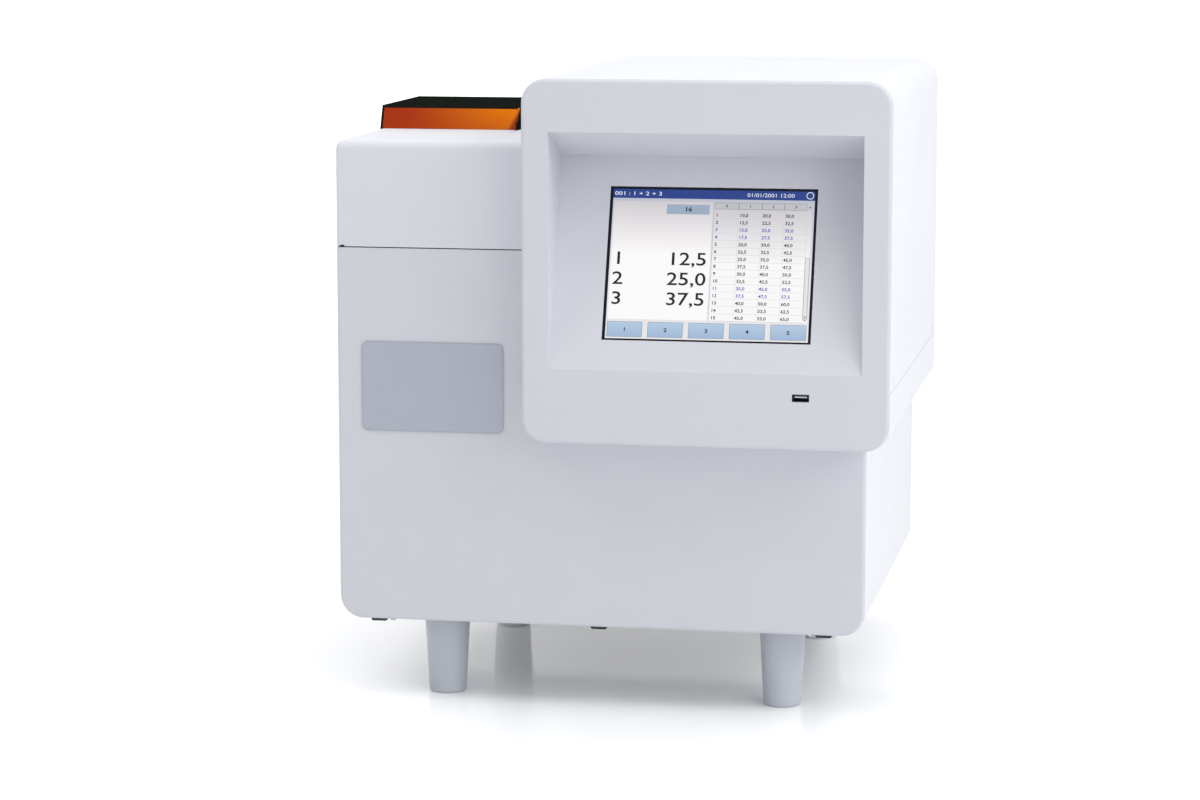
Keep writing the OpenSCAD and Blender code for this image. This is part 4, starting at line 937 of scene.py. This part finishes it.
@dataclass
class ScreenPicture:
    """What the display shows: bars, panels, bare buttons and plain numbers, lit from within."""

    glass_set: float = 0.4
    layer: float = 0.05
    thick: float = 0.04
    scroll_u: float = 210.8
    row_top: float = 132.3
    blue_rows: tuple[int, ...] = (2, 3, 10, 11)
    buttons: int = 5
    button_pitch: float = 34.0
    blue: LitPanel = LitPanel("lit_blue_bar", "#1F3C87")
    # Painted shade: the ground, white and table panels darken towards their tops, where the housing's
    # overhang shades the screen.
    ground: LitPanel = LitPanel("lit_ground", "#E6E4E4", top="#B9BDCB", foot_mm=375.0, top_mm=434.0)
    white: LitPanel = LitPanel("lit_white", "#F9F7F8", top="#CCC8CD", foot_mm=388.0, top_mm=432.0)
    table: LitPanel = LitPanel("lit_table", "#F7F6F7", top="#C9C6CA", foot_mm=380.0, top_mm=428.0)
    button: LitPanel = LitPanel("lit_button", "#9FB8D6", top="#B4CAE0", foot_mm=323.0, top_mm=335.0)
    button_edge: LitPanel = LitPanel("lit_button_edge", "#7F95AB")
    # Painted shade: the entry field's blue-grey is also darkened by the housing's overhang.
    entry: LitPanel = LitPanel("lit_entry", "#9AAAC0")
    grey: LitPanel = LitPanel("lit_grey_line", "#BFC0C6")
    head: LitPanel = LitPanel("lit_head_cell", "#BDBEC2")
    strip: LitPanel = LitPanel("lit_scroll_strip", "#E4E1E4")
    ink: LitPanel = LitPanel("lit_black_figure", "#15161C")
    pale_ink: LitPanel = LitPanel("lit_title_figure", "#E9EDF7")
    line: LitPanel = LitPanel("lit_dark_line", "#7B7D86")
    blue_ink: LitPanel = LitPanel("lit_blue_figure", "#4B45B4")
    rows: int = 15
    row_pitch: float = 6.21
    columns: tuple[float, ...] = (132.9, 152.6, 171.6, 190.6)
    stops: tuple[float, ...] = (131.6, 151.7, 171.0, 189.6, 208.6)
    whole: Area = (45.9, 27.4, 214.4, 154.6)
    title: Area = (45.9, 146.9, 214.4, 154.6)
    main: Area = (47.2, 44.0, 130.0, 144.3)
    results: Area = (131.6, 44.0, 212.8, 138.4)
    entry_box: Area = (91.5, 133.7, 127.4, 142.0)
    scroll_track: Area = (208.9, 46.7, 212.6, 98.3)
    scroll_bar: Area = (209.2, 47.0, 212.3, 98.0)
    first_button: Area = (47.1, 28.8, 76.7, 41.8)
    button_rim: float = 0.4

    def place(self, u: float, v: float, layer: int) -> Matrix:
        """A place on the screen: u along the lower rim, v up the slope, in millimetres, on a layer.

        Args:
            u: Distance from the recess's left side.
            v: Distance from its lower rim, up the slope.
            layer: Number of the layer, counted from the glass.

        Returns:
            A matrix whose X runs to the right, Y up the slope and Z out of the screen.
        """
        out, up = Vector(SCREEN_OUT), Vector(SCREEN_UP)
        raised = (self.layer * layer - self.glass_set) * MM
        foot = at(RECESS_LEFT, HOUSE_FRONT, RECESS_FOOT)
        spot = foot + Vector((u * MM, 0, 0)) + up * v * MM + out * raised
        return Matrix.Translation(spot) @ axes((1, 0, 0), up, out)

    def panel(self, name: str, boxes: Iterable[Area], layer: int, finish: Finish) -> None:
        """Adds flat areas of one colour as one piece.

        Args:
            name: The piece's name.
            boxes: Left, lower, right and upper edge of each area, in millimetres.
            layer: The layer that they lie on.
            finish: Their finish.
        """
        shape = bmesh.new()
        for u0, v0, u1, v1 in boxes:
            prism(shape, rectangle(u1 - u0, v1 - v0), self.thick, self.place(u0, v0, layer))
        piece_of(name, shape, finish, CHASSIS)

    def figures(self, name: str, entries: Iterable[Figure], layer: int, finish: Finish) -> None:
        """Adds numbers as one piece.

        Args:
            name: The piece's name.
            entries: The numbers and where they stand.
            layer: The layer that they lie on.
            finish: Their finish.
        """
        shape = bmesh.new()
        for entry in entries:
            curve = bpy.data.curves.new("figure", "FONT")
            curve.body = entry.digits
            curve.size = entry.size / DIGIT_SHARE * MM
            curve.offset = entry.weight * entry.size * MM
            curve.align_x = entry.side
            curve.resolution_u = 3
            writer = bpy.data.objects.new("figure", curve)
            mesh = bpy.data.meshes.new_from_object(writer)
            mesh.transform(self.place(entry.u, entry.v, layer) @ Matrix.Diagonal((entry.wide, 1, 1, 1)))
            shape.from_mesh(mesh)
            bpy.data.objects.remove(writer)
            bpy.data.curves.remove(curve)
            bpy.data.meshes.remove(mesh)
        piece_of(name, shape, finish, CHASSIS)

    def values(self, row: int) -> list[str]:
        """Plain numbers of one row of the table: its count and three rising values."""
        return [str(row + 1), *(f"{10 * k + 2.5 * row:.1f}".replace(".", ",") for k in (1, 2, 3))]

    def build(self) -> None:
        """Draws the whole picture from the back to the front."""
        self.panel("screen_ground", [self.whole], 1, self.ground)
        self.panel("screen_title_bar", [self.title], 2, self.blue)
        self.panel("screen_main_panel", [self.main], 2, self.white)
        self.panel("screen_table_panel", [self.results], 2, self.table)
        self.panel("screen_entry_field", [self.entry_box], 3, self.entry)
        left, low, right, high = self.first_button
        steps = [self.button_pitch * k for k in range(self.buttons)]
        edges = [(left + step, low, right + step, high) for step in steps]
        rim = self.button_rim
        faces = [(a + rim, b + rim, c - rim, d - rim) for a, b, c, d in edges]
        self.panel("screen_button_edges", edges, 2, self.button_edge)
        self.panel("screen_buttons", faces, 3, self.button)
        first, last = self.stops[0], self.stops[-1]
        lines = [(first, self.row_foot(k) - 1.7, last, self.row_foot(k) - 1.5) for k in range(self.rows)]
        lines += [(u - 0.1, 44.0, u + 0.1, 138.4) for u in self.stops[1:-1]]
        lines += [(130.9, 44.0, 131.4, 144.3), (208.7, 44.0, 208.9, 144.3), (212.6, 44.0, 212.8, 144.3)]
        self.panel("screen_grid_lines", lines, 3, self.grey)
        cells = [(a + 0.3, 138.8, b - 0.2, 143.8) for a, b in zip(self.stops, self.stops[1:])]
        rims = [(a - 0.3, b - 0.3, c + 0.2, d + 0.3) for a, b, c, d in cells]
        self.panel("screen_head_edges", rims, 3, self.line)
        self.panel("screen_head_cells", cells, 4, self.head)
        self.panel("screen_scroll_edge", [self.scroll_track], 3, self.line)
        self.panel("screen_scroll_bar", [self.scroll_bar], 4, self.strip)
        self.arrows()
        self.ring()
        self.numbers()

    def numbers(self) -> None:
        """Adds every number of the picture."""
        feet = (90.4, 73.4, 56.4)
        results = zip(("12,5", "25,0", "37,5"), feet)
        big = [Figure(text, 127.6, v, 11.2, "RIGHT", 1.26, 0.012) for text, v in results]
        big += [Figure(str(k + 1), 48.6, v, 11.2, "LEFT", 1.26, 0.012) for k, v in enumerate(feet)]
        big.append(Figure("16", 109.6, 136.2, 3.7, "CENTER", 1.25, 0.035))
        big += [
            Figure(str(k + 1), 61.9 + self.button_pitch * k, 33.6, 3.3, "CENTER", 1.25, 0.03)
            for k in range(self.buttons)
        ]
        big += [
            Figure(str(k), (a + b) / 2, 140.2, 2.3, "CENTER", 1.2, 0.02)
            for k, (a, b) in enumerate(zip(self.stops, self.stops[1:]))
        ]
        self.figures("screen_large_figures", big, 5, self.ink)
        title = [
            Figure("001 : 1 + 2 + 3", 47.0, 149.3, 3.4, "LEFT", 1.42, 0.004),
            Figure("01/01/2001 12:00", 197.6, 149.3, 3.3, "RIGHT", 1.24, 0.0),
        ]
        self.figures("screen_title_figures", title, 4, self.pale_ink)
        black, blue = [], []
        for row in range(self.rows):
            for column, text in zip(self.columns, self.values(row)):
                entry = Figure(text, column, self.row_foot(row) - 0.1, 2.75, "LEFT", 1.12, 0.032)
                (blue if row in self.blue_rows else black).append(entry)
        self.figures("screen_table_figures", black, 4, self.ink)
        self.figures("screen_standard_figures", blue, 4, self.blue_ink)

    def row_foot(self, row: int) -> float:
        """Height of a table row's foot line above the lower rim, up the slope."""
        return self.row_top - self.row_pitch * row

    def arrows(self) -> None:
        """Adds the three small arrow heads of the scroll bar."""
        shape = bmesh.new()
        for v, way in ((141.2, 1), (48.8, 1), (45.6, -1)):
            outline = [(-0.9, -0.6 * way), (0.9, -0.6 * way), (0.0, 0.7 * way)]
            if way < 0:
                outline.reverse()
            prism(shape, outline, self.thick, self.place(self.scroll_u, v, 5))
        piece_of("screen_scroll_arrows", shape, self.ink, CHASSIS)

    def ring(self) -> None:
        """Adds the round key at the title bar's right end as a plain ring."""
        shape = bmesh.new()
        place = self.place(210.4, 151.1, 4)
        bridge(shape, [ring_of(shape, place, disc(r, 32)) for r in (3.1, 2.55)])
        piece_of("screen_round_key", shape, self.pale_ink, CHASSIS)


@dataclass
class NamePlate:
    """The bare name plate's printed edge line."""

    x: float = 21.7
    z: float = 233.4
    w: float = 122.0
    h: float = 76.0
    r: float = 5.0
    line: float = 0.5
    high: float = 0.06

    def build(self) -> None:
        """Adds the thin darker line that runs round the plate's rim."""
        shape = bmesh.new()
        place = facing(self.x, -1.0, self.z, FORWARD)
        outer = rounded(self.w, self.h, self.r)
        wide, tall = 1 - 2 * self.line / self.w, 1 - 2 * self.line / self.h
        x0, y0 = self.w / 2, self.h / 2
        inner = [((x - x0) * wide + x0, (y - y0) * tall + y0) for x, y in outer]
        section = ((outer, 0.0), (outer, self.high), (inner, self.high), (inner, 0.0))
        bridge(shape, [ring_of(shape, place, ring, level) for ring, level in section])
        piece_of("plate_edge_line", shape, FOIL_EDGE, CHASSIS)


@dataclass
class LidSeal:
    """The black rubber seal on the tower's upper edge, which shows as a dark line under the lid."""

    foot: float = 388.6
    high: float = 0.75
    set_in: float = 0.3
    thick: float = 1.1
    corner: float = 5.0
    right: float = 165.5
    back: float = 408.0

    def build(self) -> None:
        """Adds the seal along the front and the left side, in one bent strip."""
        shape = bmesh.new()
        steps = 6
        rims = []
        for inset, level in ((0.0, 0.0), (0.0, self.high), (self.thick, self.high), (self.thick, 0.0)):
            near = self.set_in + inset
            r = self.corner - near
            turns = [math.pi / 2 * k / steps for k in range(steps + 1)]
            bent = [(self.corner - r * math.cos(a), self.corner - r * math.sin(a)) for a in turns]
            line = [(near, self.back), *bent, (self.right, near)]
            rims.append([shape.verts.new(at(x, y, self.foot + level)) for x, y in line])
        bridge(shape, rims + rims[:1], closed=False)
        shape.faces.new([rim[0] for rim in rims])
        shape.faces.new([rim[-1] for rim in reversed(rims)])
        piece_of("lid_seal", shape, RUBBER, CHASSIS)


@dataclass
class HousingTrim:
    """The painted shade in the joint between the housing's cover and tray, dark tabs of painted shade in the
    cover's four side slots, and the white tongue in the front socket."""

    front: float = -34.8
    joint: float = 279.5
    gap: float = 0.4
    set_in: float = 0.02
    thick: float = 0.9
    slots: tuple[float, float] = (-7.0, 360.0)
    tab_up: float = 4.0
    tab_w: float = 1.2
    tab_h: float = 7.0
    socket: Point = (400.0, HOUSE_FRONT, 276.0)

    def seal(self) -> None:
        """Adds the strip of painted shade along both sides and the back."""
        shape = bmesh.new()
        out, deep = self.set_in, self.set_in + self.thick
        top, inner = self.joint + self.gap, HOUSE_BACK - deep
        for x in (HOUSE_LEFT + out, HOUSE_RIGHT - deep):
            box(shape, (x, self.front, self.joint), (x + self.thick, inner, top))
        box(shape, (HOUSE_LEFT + out, inner, self.joint), (HOUSE_RIGHT - out, HOUSE_BACK - out, top))
        piece_of("cover_seam_shade", shape, SEAM_SHADE, CHASSIS)

    def tabs(self) -> None:
        """Adds the dark tabs that show in the slots, painted shade for the slots' dark insides."""
        shape = bmesh.new()
        foot = self.joint + self.tab_up
        for x in (HOUSE_LEFT + self.set_in, HOUSE_RIGHT - self.set_in - self.thick):
            for y in self.slots:
                box(shape, (x, y, foot), (x + self.thick, y + self.tab_w, foot + self.tab_h))
        piece_of("cover_slot_shades", shape, RUBBER, CHASSIS)

    def tongue(self) -> None:
        """Adds the tongue's white front edge."""
        shape = bmesh.new()
        x, y, z = self.socket
        box(shape, (x - 5.1, y + 2.3, z + 0.2), (x + 5.1, y + 3.6, z + 1.1))
        piece_of("socket_tongue", shape, TONGUE, CHASSIS)

    def build(self) -> None:
        """Adds all three."""
        self.seal()
        self.tabs()
        self.tongue()


@dataclass
class FlueTrim:
    """Rivets on the flue shield's sides, and the window's seal and lap."""

    x0: float = 4.0
    x1: float = 128.0
    y0: float = 148.0
    y1: float = 285.0
    foot: float = 479.5
    top: float = 499.5
    lean: float = 9.5
    sheet: float = 1.5
    rivet_in: float = 12.0
    rivet_down: float = 9.0
    seal_h: float = 0.9

    def rivets(self) -> None:
        """Adds three rivets on either side."""
        shape = bmesh.new()
        z = self.top - self.rivet_down
        for y in (self.y0 + self.rivet_in, (self.y0 + self.y1) / 2, self.y1 - self.rivet_in):
            for x, outward in ((self.x0, (-1, 0, 0)), (self.x1, (1, 0, 0))):
                screw_head(shape, facing(x, y, z, outward), 4.0, Head.RIVET)
        smooth_above(piece_of("shield_rivets", shape, ENAMEL, LID))

    def length(self) -> float:
        """Length of the leaning front, up the slope."""
        return math.hypot(self.top - self.foot, self.lean)

    def slope(self, x: float, up: float) -> Matrix:
        """A place on the leaning front: x to the right and so far up the slope, its Z looking outward."""
        rise, length = self.top - self.foot, self.length()
        slant = Vector((0.0, self.lean / length, rise / length))
        out = Vector((0.0, -rise / length, self.lean / length))
        spot = at(x, self.y0 - self.lean, self.foot) + slant * up * MM
        return Matrix.Translation(spot) @ axes((1, 0, 0), slant, out)

    def seal(self) -> None:
        """Adds the thin seal between the window's upper edge and the sheet."""
        shape = bmesh.new()
        wide = self.x1 - self.x0 - 2 * self.sheet
        place = self.slope(self.x0 + self.sheet, self.length() - self.sheet - self.seal_h)
        prism(shape, rectangle(wide, self.seal_h), 0.12, place)
        piece_of("window_seal", shape, ENAMEL, LID)

    def lap(self) -> None:
        """Adds the window's right lap over the cheek, which narrows to nothing at the foot."""
        shape = bmesh.new()
        top = self.length() - self.sheet
        foot = 0.35 * top
        inner = -self.sheet - 0.5
        outline = [(inner, foot), (-1.2, foot), (-0.1, top), (inner, top)]
        prism(shape, outline, 0.15, self.slope(self.x1, 0.0))
        piece_of("window_lap", shape, WINDOW, LID)

    def build(self) -> None:
        """Adds all of it."""
        self.rivets()
        self.seal()
        self.lap()


@dataclass
class RearTrim:
    """Screws on the back: those of the rear panel, of the fan and of the lid's hinges."""

    fan: Point2 = (397.5, 444.0)
    fan_hole: float = 35.8
    hinges: tuple[float, ...] = (24.0, 112.5)
    lower_leaf: float = 371.0
    upper_leaf: float = 406.5
    panel: tuple[Point2, ...] = (
        *((12, z) for z in (100, 230, 360)),
        (154, 360),
        *((x, 80) for x in (100, 225, 350)),
        *((438, z) for z in (110, 215)),
        *((x, 222) for x in (225, 330)),
        (154, 250),
    )

    def panel_screws(self) -> None:
        """Adds the screws that hold the rear panel, the fan and the lower hinge leaves."""
        shape = bmesh.new()
        for x, z in self.panel:
            screw_head(shape, facing(x, BODY_BACK, z, BACKWARD, 17.0 * (x % 7)), 6.5)
        for i in (-1, 1):
            for k in (-1, 1):
                x, z = self.fan[0] + i * self.fan_hole, self.fan[1] + k * self.fan_hole
                screw_head(shape, facing(x, HOUSE_BACK + 2.1, z, BACKWARD), 7.0)
        self.leaf_screws(shape, self.lower_leaf)
        smooth_above(piece_of("rear_screws", shape, NICKEL, CHASSIS))

    def leaf_screws(self, shape: Shape, z: float) -> None:
        """Adds two screws to each hinge leaf at a height of z."""
        for x in self.hinges:
            for dx in (7, 23):
                screw_head(shape, facing(x + dx, BODY_BACK + 1.7, z, BACKWARD, 30), 5.0)

    def lid_screws(self) -> None:
        """Adds the screws of the upper hinge leaves, which swing with the lid."""
        shape = bmesh.new()
        self.leaf_screws(shape, self.upper_leaf)
        smooth_above(piece_of("lid_leaf_screws", shape, NICKEL, LID))

    def build(self) -> None:
        """Adds all of it."""
        self.panel_screws()
        self.lid_screws()


@dataclass
class InletTrim:
    """The mains inlet's blades and screws, and the two marks on the rocker."""

    x: float = 386.0
    flange: float = 2.7
    low: float = 120.0
    high: float = 196.0
    socket: float = 156.0
    rocker_y: float = 413.0
    rocker: float = 184.0
    rocker_h: float = 14.0
    tip: float = 8.0

    def blades(self) -> None:
        """Adds three nickel blades over the inlet's prongs."""
        shape = bmesh.new()
        for side, foot in ((-7, -2.1), (0, -4.6), (7, -2.1)):
            place = facing(self.x + side + 1.15, BODY_BACK - 13.5, self.socket + foot, BACKWARD)
            prism(shape, rounded(2.3, 4.7, 0.6), 10.8, place, 0.5)
        smooth_above(piece_of("inlet_blades", shape, NICKEL, CHASSIS))

    def screws(self) -> None:
        """Adds the flange's four screws."""
        shape = bmesh.new()
        for z in (self.low - 0.2, self.high + 0.2):
            for side in (-20, 20):
                screw_head(shape, facing(self.x + side, BODY_BACK + self.flange, z, BACKWARD, 45), 5.0)
        smooth_above(piece_of("inlet_screws", shape, NICKEL, CHASSIS))

    def marks(self) -> None:
        """Adds the bar and the ring that mark the rocker's two ends."""
        shape = bmesh.new()
        middle = Matrix.Translation(at(self.x, self.rocker_y, self.rocker))
        pivot = middle @ Matrix.Rotation(math.radians(self.tip), 4, "X")
        half = self.rocker_h / 2 - 0.7
        for end in (1, -1):
            out = Vector((0.0, half, -2.2 * end)).normalized()
            up = Vector((0.0, 2.2 * end, half)).normalized()
            spot = Vector((0, 2.9, end * half / 2)) * MM + out * 0.02 * MM
            place = pivot @ Matrix.Translation(spot) @ axes((-1, 0, 0), up, out)
            if end > 0:
                prism(shape, [(-0.35, -1.5), (0.35, -1.5), (0.35, 1.5), (-0.35, 1.5)], 0.12, place)
                continue
            section = ((1.6, 0.0), (1.6, 0.12), (1.0, 0.12), (1.0, 0.0))
            bridge(shape, [ring_of(shape, place, disc(r), level) for r, level in section])
        piece_of("rocker_marks", shape, MARKING, "rocker")

    def build(self) -> None:
        """Adds all of it."""
        self.blades()
        self.screws()
        self.marks()


@dataclass
class PortTrim:
    """Gold contacts in the network port, the two USB ports and the serial port in the housing's back."""

    board_x: float = 300.5
    foot: float = 245.1
    pin_pitch: float = 2.77
    network: float = 12.0
    usb: Point2 = (42.0, 66.0)
    serial: float = 92.0

    def build(self) -> None:
        """Adds the contacts as one piece."""
        shape = bmesh.new()
        for k in range(8):
            low = Vector((self.board_x + self.network + 3.6 + 1.16 * k, HOUSE_BACK - 12, self.foot + 8.9))
            box(shape, low, low + Vector((0.5, 9.0, 0.4)))
        for port in self.usb:
            for k in range(4):
                low = Vector((self.board_x + port + 2.6 + 2.2 * k, HOUSE_BACK - 9, self.foot + 2.9))
                box(shape, low, low + Vector((1.1, 6.5, 0.2)))
        for row, count in ((0, 5), (1, 4)):
            for k in range(count):
                x = self.board_x + self.serial + 15.5 + (k - (count - 1) / 2) * self.pin_pitch
                place = facing(x, HOUSE_BACK, self.foot + 7.6 - 2.84 * row, BACKWARD)
                lathe(shape, [(0.5, 0.0), (0.5, 2.9), (0.3, 3.5)], place, 12)
        smooth_above(piece_of("port_contacts", shape, GOLD, CHASSIS))


@dataclass
class BayTrim:
    """What is seen under the open lid: the chimney's rolled rim and the screws of its foot."""

    x: float = 66.0
    y: float = 216.5
    plate: float = 322.0
    top: float = 383.0
    r: float = 32.0
    roll: float = 1.1  # radius of the rolled rim
    screw_r: float = 36.0

    def rim(self) -> None:
        """Adds the rolled rim."""
        shape = bmesh.new()
        place = Matrix.Translation(at(self.x, self.y, self.top))
        around, across = 64, 10
        rings = []
        for i in range(around):
            a = 2 * math.pi * i / around
            ring = []
            for k in range(across):
                b = 2 * math.pi * k / across
                r = self.r - 0.4 + self.roll * math.cos(b)
                spot = Vector((r * math.cos(a), r * math.sin(a), self.roll * math.sin(b) - 0.3)) * MM
                ring.append(shape.verts.new(place @ spot))
            rings.append(ring)
        bridge(shape, rings + rings[:1])
        smooth_above(piece_of("chimney_rim", shape, STAINLESS, CHASSIS), 60)

    def screws(self) -> None:
        """Adds three screws on the chimney's foot."""
        shape = bmesh.new()
        for turn in (45, 165, 285):
            a = math.radians(turn)
            x, y = self.x + self.screw_r * math.cos(a), self.y + self.screw_r * math.sin(a)
            screw_head(shape, facing(x, y, self.plate + 1.5, (0, 0, 1), turn), 5.5)
        smooth_above(piece_of("chimney_screws", shape, NICKEL, CHASSIS))

    def build(self) -> None:
        """Adds both."""
        self.rim()
        self.screws()


@dataclass
class Studio:
    """The pale floor, the soft lamps and the camera at the photograph's angle."""

    eye: Point = (0.50785, -2.9701, 0.6806)
    look: Point = (81.6, 0.0, 10.5)
    lens: float = 102.19
    floor_half: float = 30.0
    floor_lift: float = 0.25  # white that the open floor shows on top of its own shade, as in a bright studio
    open_within: float = 0.5
    middle: Point = (0.0, 0.0, 0.3)
    lamps: tuple[tuple[str, Point, float, float], ...] = (
        ("key", (2.6, -1.0, 2.2), 1.6, 36.0),
        ("front_right", (2.2, -2.6, 1.4), 1.6, 17.4),
        ("top", (0.3, -0.4, 3.0), 2.2, 20.5),
        ("top_left", (-1.6, -0.8, 2.6), 1.4, 13.5),
        ("left", (-3.0, 0.35, 0.9), 1.6, 9.0),
        ("front", (0.4, -3.0, 2.6), 1.6, 3.6),
    )

    def camera(self) -> None:
        """Creates the camera."""
        data = bpy.data.cameras.new("camera")
        data.lens = self.lens
        data.sensor_width = 36.0
        data.clip_end = 100.0
        made = bpy.data.objects.new("camera", data)
        made.location = self.eye
        made.rotation_euler = Euler([math.radians(a) for a in self.look])
        bpy.context.scene.collection.objects.link(made)
        bpy.context.scene.camera = made

    def floor(self) -> None:
        """Lays a glossy white floor that mirrors the object's foot, with white light painted onto its open
        parts.
        """
        shape = bmesh.new()
        h = self.floor_half
        shape.faces.new([shape.verts.new(p) for p in ((-h, -h, 0), (h, -h, 0), (h, h, 0), (-h, h, 0))])
        mesh = bpy.data.meshes.new("floor")
        shape.to_mesh(mesh)
        shape.free()
        made = bpy.data.objects.new("floor", mesh)
        bpy.context.scene.collection.objects.link(made)
        material = bpy.data.materials.new("white_laminate_floor")
        material.use_nodes = True
        tree = material.node_tree
        tree.nodes.clear()
        laminate = {"Base Color": linear("#FBFBFC"), "Roughness": 0.10, "Specular IOR Level": 0.30}
        shader = add_node(tree, "ShaderNodeBsdfPrincipled", laminate)
        rays = add_node(tree, "ShaderNodeLightPath")
        seen = maths(tree, "MAXIMUM", rays.outputs["Is Camera Ray"], rays.outputs["Is Glossy Ray"])
        # Painted light: the white lift is strongest where the floor sees open sky and fades under the object,
        # deepening the shade there.
        near = {"samples": 16, "Distance": self.open_within}
        open_sky = add_node(tree, "ShaderNodeAmbientOcclusion", near).outputs["AO"]
        spread = ranged(tree, open_sky, (0.15, 0.8), (0.05, self.floor_lift))
        # Beyond the lamps' reach the floor is lifted further, so that it meets the background evenly.
        reach = add_node(tree, "ShaderNodeVectorMath", {"operation": "LENGTH"}, {0: places(tree)})
        far = ranged(tree, reach.outputs["Value"], (1.5, 6.0), (0.0, 0.5))
        direct = maths(tree, "MULTIPLY", far, rays.outputs["Is Camera Ray"])
        lift = maths(tree, "MULTIPLY", seen, maths(tree, "ADD", spread, direct))
        pale = add_node(tree, "ShaderNodeEmission", {"Color": (1, 1, 1, 1)}, {"Strength": lift})
        both = add_node(tree, "ShaderNodeAddShader", links={0: shader.outputs[0], 1: pale.outputs[0]})
        add_node(tree, "ShaderNodeOutputMaterial", links={"Surface": both.outputs[0]})
        mesh.materials.append(material)

    def world(self) -> None:
        """Sets an even soft light all round, and a white background."""
        world = bpy.data.worlds.new("studio")
        bpy.context.scene.world = world
        world.use_nodes = True
        tree = world.node_tree
        tree.nodes.clear()
        rays = add_node(tree, "ShaderNodeLightPath")
        soft = add_node(tree, "ShaderNodeBackground", {"Color": linear("#FAFBFF"), "Strength": 0.48})
        white = add_node(tree, "ShaderNodeBackground", {"Color": (1, 1, 1, 1), "Strength": 1.0})
        seen = maths(tree, "MAXIMUM", rays.outputs["Is Camera Ray"], rays.outputs["Is Glossy Ray"])
        through = maths(tree, "MAXIMUM", seen, rays.outputs["Is Transmission Ray"])
        links = {0: through, 1: soft.outputs[0], 2: white.outputs[0]}
        mix = add_node(tree, "ShaderNodeMixShader", links=links)
        add_node(tree, "ShaderNodeOutputWorld", links={"Surface": mix.outputs[0]})

    def lamp(self, name: str, spot: Point, size: float, watts: float) -> None:
        """Hangs one soft white box that points at the object.

        Args:
            name: Its name.
            spot: Where it hangs, in metres.
            size: Its side, in metres.
            watts: Its power.
        """
        data = bpy.data.lights.new(name, "AREA")
        data.size = size
        data.energy = watts
        made = bpy.data.objects.new(name, data)
        made.location = spot
        made.rotation_euler = (Vector(self.middle) - Vector(spot)).to_track_quat("-Z", "Y").to_euler()
        bpy.context.scene.collection.objects.link(made)

    def build(self) -> None:
        """Sets the whole studio up."""
        self.camera()
        self.floor()
        self.world()
        for name, spot, size, watts in self.lamps:
            self.lamp(name, spot, size, watts)
        bpy.context.scene.view_settings.view_transform = "Standard"


def special_finishes() -> dict[str, Finish]:
    """Finishes of the nodes that differ from their slot's usual one.

    Returns:
        The finish by node name.
    """
    board_behind = 22.7  # from the recess's plane to the display board's rear face
    _, forward, upward = (share * board_behind for share in SCREEN_OUT)
    foot = (RECESS_LEFT, HOUSE_FRONT - forward, RECESS_FOOT - upward)
    green = "#2A6E42"
    return {
        "shield_window": WINDOW,
        "burner_lid": LID_COAT,
        "foot_rear_left": PAINTED_LIT_FOOT,
        "foot_rear_right": PAINTED_LIT_FOOT,
        "usb_socket": SOCKET,
        "fuse_drawer": GLOSSY_NYLON,
        "rocker_switch": GLOSSY_NYLON,
        "main_board": CircuitBoard("green_circuit_board", green, 0.35, (0, 0, 243.5)),
        "display_board": CircuitBoard("green_display_board", green, 0.35, foot, SCREEN_OUT),
    }


def build_all() -> None:
    """Builds the studio and the sub-assemblies in order."""
    Studio().build()
    Dresser(special=special_finishes()).dress()
    parts: list[Callable[[], None]] = [
        ScreenPicture().build,
        NamePlate().build,
        LidSeal().build,
        HousingTrim().build,
        FlueTrim().build,
        RearTrim().build,
        InletTrim().build,
        PortTrim().build,
        BayTrim().build,
    ]
    for build in parts:
        build()


def main() -> None:
    """Builds everything."""
    logging.basicConfig(level=logging.INFO, format="%(message)s")
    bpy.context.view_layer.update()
    build_all()
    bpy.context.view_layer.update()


if __name__ == "__main__":
    main()
